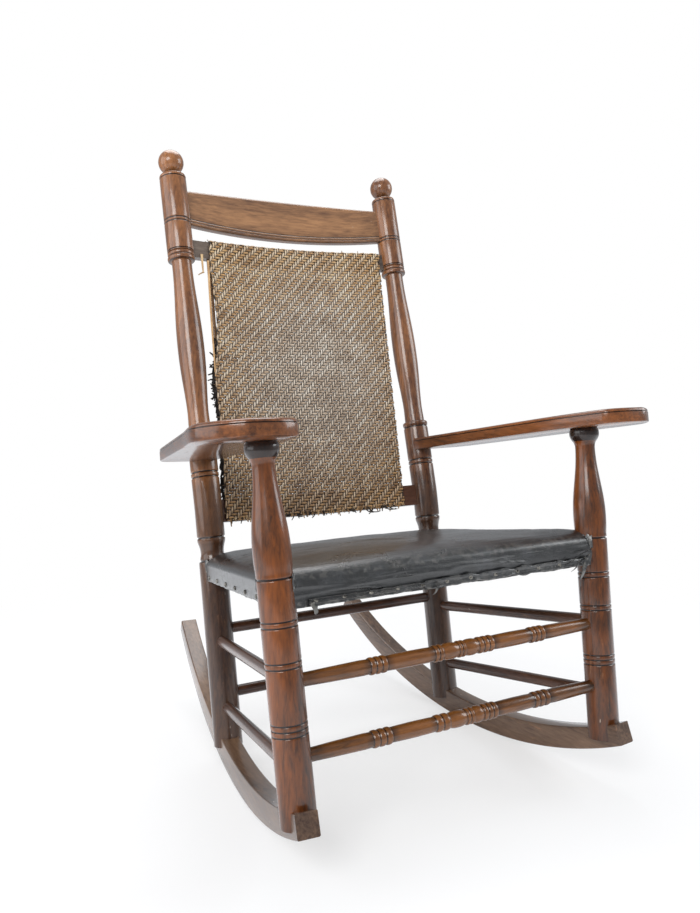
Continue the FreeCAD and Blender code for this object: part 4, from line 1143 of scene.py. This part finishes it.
around, over_rail = 4 * 96, 17.2
centre_plan = Vector((0, (front_p + rear_p) / 2))
verts, rubs = [chair_point(0, centre_plan.y, weave_top + crown)], [0.0]
outline = [seat_edge(over_rail, k / around) for k in range(around)]
# the corners are rounded by averaging each point with its neighbours
for sweep in range(14):
    outline = [(point * 0.5 + (outline[k - 1][0] + outline[(k + 1) % around][0]) * 0.25,
                number, local) for k, (point, number, local) in enumerate(outline)]


def skirt_depth(number, local, k):
    """How far the hem hangs below the weave's top on each side."""
    front_hem, side_hem = weave_top - 324.0, weave_top - 333.5
    wave = 1.6 * noise.noise(Vector((k * 0.11, 7.0, 0))) + 1.0 * noise.noise(
        Vector((k * 0.41, 2.0, 0)))
    deep = front_hem if number == 0 else side_hem
    if number == 1:
        deep = front_hem + (side_hem - front_hem) * min(1.0, local * 8)
    if number == 3:
        deep = side_hem + (front_hem - side_hem) * max(0.0, local * 8 - 7)
    return deep - 1.0 + wave


def skirt_height(number, local, k, share):
    """The height of the skirt at share of the way down to its hem."""
    return skirt_top - (skirt_depth(number, local, k) - weave_top + skirt_top) * share


def seat_height(plan_point, t):
    """The padded top: flat in the middle and rounding over at the edge."""
    inset = (1.0 - t) * 215.0
    level = float(np.interp(inset, (0, 2, 5, 9, 15, 24, 40, 80, 130),
                            (363.0, 367.5, 371.2, 374.6, 378.0, 381.2, 384.6, 388.0, 389.4)))
    big = noise.noise(Vector((plan_point.x * 0.007, plan_point.y * 0.009, 4.0))) * 2.4
    fine = noise.noise(Vector((plan_point.x * 0.022, plan_point.y * 0.045, 8.0))) * 0.9
    return level + (big + fine) * min(1.0, inset / 30)


for t in ([0.86 * k / 20 for k in range(1, 21)] + [0.86 + 0.14 * k / 16 for k in range(1, 17)]):
    for point, number, local in outline:
        place = centre_plan.lerp(point, t)
        verts.append(chair_point(place.x, place.y, seat_height(place, t)))
        rubs.append(0.12 if t > 0.95 and number == 0 else 0.0)
down_steps = 20
for j in range(1, down_steps + 1):
    f = j / down_steps
    for k, (point, number, local) in enumerate(outline):
        out = (point - centre_plan).normalized()
        roll_out = 1.4 * math.sin(min(1.0, f * 1.6) * math.pi) if number == 0 else 0.6
        ripple = noise.noise(Vector((k * 0.16, f * 2.0, 1.0))) * 1.3 * f
        if number == 0:
            ridge = abs(noise.noise(Vector((k * 0.045, f * 3.4 + k * 0.006, 5.0))))
            ripple += (4.2 * max(0.0, 0.16 - ridge) / 0.16
                       * math.sin(math.pi * min(1.0, f * 1.15)))
        place = point + out * (roll_out - 0.8 + ripple * 0.6)
        verts.append(chair_point(place.x, place.y, skirt_height(number, local, k, f)))
        rubs.append(0.9 if j == down_steps else (0.25 if f > 0.75 else 0.0))
# round the hem and back up inside, then in under the pad
for inset, share in ((3.0, 1.0), (5.0, 0.98), (5.6, 0.5), (6.0, 0.03)):
    for k, (point, number, local) in enumerate(outline):
        place = point - (point - centre_plan).normalized() * inset
        verts.append(chair_point(place.x, place.y, skirt_height(number, local, k, share)))
        rubs.append(0.5 if share > 0.9 else 0.0)
pad_under = weave_top - 1.5
for t in (0.9, 0.5):
    for point, number, local in outline:
        place = centre_plan.lerp(point, t)
        verts.append(chair_point(place.x, place.y, pad_under))
        rubs.append(0.0)
verts.append(chair_point(0, centre_plan.y, pad_under))
rubs.append(0.0)
ring_count = (len(verts) - 2) // around
faces = []
for k in range(around):
    n = (k + 1) % around
    faces.append((0, 1 + k, 1 + n))
    for j in range(ring_count - 1):
        a, b = 1 + j * around, 1 + (j + 1) * around
        faces.append((a + k, b + k, b + n, a + n))
    a = 1 + (ring_count - 1) * around
    faces.append((a + n, a + k, len(verts) - 1))
cover = closed_piece("leather_cover", verts, faces, leather, None, rubs, 70)
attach(cover, "root")
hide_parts("leather_seat_cover")

# ragged collars where the leather was slit and pushed against the four posts
collar_verts, collar_rubs, collar_faces = [], [], []
collar_rows = ((25.8, -13.0), (27.8, -12.0), (28.2, -3.0), (27.6, 4.0), (26.4, 7.5), (25.8, 5.0))
for number, (side, at_front, lift_q) in enumerate(((-1, True, 364.0), (1, True, 366.0),
                                                   (-1, False, 364.0), (1, False, 364.0))):
    base, sides = len(collar_verts), 56
    facing_in = math.atan2(1.0 if at_front else -1.0, -side)
    for row, (reach, up) in enumerate(collar_rows):
        for k in range(sides):
            a = facing_in + math.radians(-94 + 188 * k / (sides - 1))
            tear = noise.noise(Vector((k * 0.55, number * 7.0, row * 0.4)))
            fine = noise.noise(Vector((k * 1.9, number * 3.0, row)))
            spread_out = reach + (1.6 * fine if 0 < row < 5 else 0)
            q = lift_q + up * (1.0 + 0.55 * tear) + 2.0 * fine
            axis_x, axis_p = (front_reach(q), front_p) if at_front else (rear_reach(q),
                                                                         rear_line(q))
            collar_verts.append(chair_point(side * axis_x + spread_out * math.cos(a),
                                            axis_p + spread_out * math.sin(a), q))
            collar_rubs.append(0.5 if row in (1, 4) else 0.1)
    for row in range(6):
        for k in range(sides - 1):
            n = (row + 1) % 6
            collar_faces.append((base + row * sides + k, base + row * sides + k + 1,
                                 base + n * sides + k + 1, base + n * sides + k))
    collar_faces.append(tuple(base + row * sides for row in range(6)))
    collar_faces.append(tuple(base + row * sides + sides - 1 for row in range(6)))
collars = closed_piece("ragged_leather_collars", collar_verts, collar_faces, leather, None,
                       collar_rubs, 60)
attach(collars, "root")

# Folded strip: an offcut of the same leather doubled over and nailed along the front hem. Its
# torn ends hang loose beside the right front post and at two places to the left.

strip_q, strip_p = 332.5, front_p - over_rail - 1.6
verts, rubs = [], []
strip_profile = [(0.0, -7.0), (-1.8, -7.4), (-2.6, -5.0), (-1.4, -1.0), (-1.2, 1.6),
                 (-2.8, 4.6), (-2.2, 7.2), (-0.4, 7.4), (0.4, 5.0), (0.2, -5.0)]
strip_steps = 150
for j in range(strip_steps + 1):
    x = -248.0 + 504.0 * j / strip_steps
    sway = noise.noise(Vector((x * 0.03, 1.0, 0))) * 1.6
    squeeze = 0.85 + 0.55 * noise.noise(Vector((x * 0.045, 4.0, 0)))
    if x < -60:
        squeeze *= 0.55
    for p_off, q_off in strip_profile:
        verts.append(chair_point(x, strip_p + p_off * (1.0 + 0.4 * squeeze),
                                 strip_q + sway + q_off * squeeze))
        # the fold edges are marked pale: rubbed wear and painted highlight
        rubs.append(0.6 if abs(q_off) > 7.2 else 0.1)
strip = closed_piece("folded_leather_strip", verts,
                     tube_faces(strip_steps + 1, len(strip_profile)), leather, None, rubs, 60)
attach(strip, "root")
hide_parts("leather_edge_strip")

# the torn ends, each from its start to its end: x, height, x, height, width
tail_verts, tail_faces = [], []
for start_x, start_q, end_x, end_q, width in ((255.0, 349.0, 204.0, 334.0, 13.0),
                                              (252.0, 342.0, 233.0, 307.0, 12.0),
                                              (244.0, 338.0, 216.0, 322.0, 9.0),
                                              (-246.0, 331.0, -240.0, 317.0, 8.0),
                                              (-40.0, 330.0, -52.0, 319.0, 7.0)):
    base, steps = len(tail_verts), 10
    for j in range(steps + 1):
        f = j / steps
        x = start_x + (end_x - start_x) * f
        q = start_q + (end_q - start_q) * f + 2.0 * math.sin(f * 5)
        p_here = strip_p - 4.6 - 4.0 * math.sin(f * 3.0)
        half_wide = width / 2 * (1.0 - 0.6 * f ** 2 + 0.12 * math.sin(f * 17))
        for a, b in ((-1, -0.7), (1, -0.7), (1, 0.7), (-1, 0.7)):
            tail_verts.append(chair_point(x + half_wide * a, p_here + b, q + half_wide * a * 0.4))
    tail_faces += tube_faces(steps + 1, 4, base)
tails = closed_piece("torn_strip_ends", tail_verts, tail_faces, leather, None,
                     [0.3] * len(tail_verts), 60)
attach(tails, "root")

# Tacks: domed steel upholstery tacks, darkened with age. Twelve hold the strip along the front
# hem and six more hold the leather along each side.

tack_steel = bpy.data.materials.new("dark_tack_steel")
tack_steel.use_nodes = True
steel_tree = tack_steel.node_tree
steel_surface = steel_tree.nodes["Principled BSDF"]
steel_place = shader_node(steel_tree, "ShaderNodeTexCoord")
steel_noise = shader_node(steel_tree, "ShaderNodeTexNoise",
                          {"Vector": steel_place.outputs["Object"], "Scale": 300.0,
                           "Detail": 3.0}).outputs["Fac"]
steel_colour = colour_ramp(steel_tree, steel_noise,
                           [(0.35, to_linear(52, 50, 48)), (0.65, to_linear(150, 146, 138))])
steel_tree.links.new(steel_colour, steel_surface.inputs["Base Color"])
steel_tree.links.new(maths(steel_tree, "MULTIPLY_ADD", steel_noise, 0.4, 0.2),
                     steel_surface.inputs["Roughness"])
steel_surface.inputs["Metallic"].default_value = 0.85

tack_points, tack_ways = [], []
for k in range(12):
    x = -238.0 + 476.0 * k / 11 + 4 * noise.noise(Vector((k * 3.1, 0, 0)))
    tack_points.append(chair_point(x, strip_p - 1.4, strip_q + 0.5 * math.sin(k * 2.4)))
    tack_ways.append((chair_point(0, -1, 0) - chair_point(0, 0, 0)).normalized())
for word, side in both_sides:
    for k in range(6):
        t = 0.1 + 0.8 * k / 5
        x_here = front_x + (rear_x - front_x) * t + over_rail + 0.4
        tack_points.append(chair_point(side * x_here, front_p + (rear_p - front_p) * t, 341.0))
        tack_ways.append(Vector((side, 0, 0)))
tack_cloud = bpy.data.meshes.new("tack_places")
tack_cloud.from_pydata([tuple(p) for p in tack_points], [], [])
facing = tack_cloud.attributes.new("facing", "FLOAT_VECTOR", "POINT")
facing.data.foreach_set("vector", [c for way in tack_ways for c in way])
tack_tree, t_in, t_out = geometry_tree(
    "hammered_tacks", [("Geometry", "Geometry"), ("Head Radius", "Float"),
                       ("Head Rise", "Float"), ("Steel", "Material")])
t_ball = shader_node(tack_tree, "GeometryNodeMeshUVSphere",
                     {"Segments": 12, "Rings": 6, "Radius": t_in.outputs["Head Radius"]})
t_flat = shader_node(tack_tree, "ShaderNodeCombineXYZ",
                     {0: 1.0, 1: 1.0, 2: t_in.outputs["Head Rise"]})
t_dome = shader_node(tack_tree, "GeometryNodeTransform",
                     {"Geometry": t_ball.outputs[0], "Scale": t_flat.outputs[0]})
t_way = shader_node(tack_tree, "GeometryNodeInputNamedAttribute", {"Name": "facing"},
                    data_type="FLOAT_VECTOR")
t_turn = shader_node(tack_tree, "FunctionNodeAlignRotationToVector",
                     {"Vector": t_way.outputs[0]}, axis="Z")
t_set = shader_node(tack_tree, "GeometryNodeInstanceOnPoints",
                    {"Points": t_in.outputs["Geometry"], "Instance": t_dome.outputs[0],
                     "Rotation": t_turn.outputs[0]})
t_real = shader_node(tack_tree, "GeometryNodeRealizeInstances",
                     {"Geometry": t_set.outputs[0]})
t_done = shader_node(tack_tree, "GeometryNodeSetMaterial",
                     {"Geometry": t_real.outputs[0], "Material": t_in.outputs["Steel"]})
tack_tree.links.new(t_done.outputs[0], t_out.inputs[0])
tack_mesh = grown("tack_places", tack_cloud, tack_tree,
                  {"Head Radius": 0.0038, "Head Rise": 0.45, "Steel": tack_steel})
tack_mesh.shade_smooth()
tacks = new_piece("domed_tacks", tack_mesh)
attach(tacks, "root")
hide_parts("upholstery_tacks")
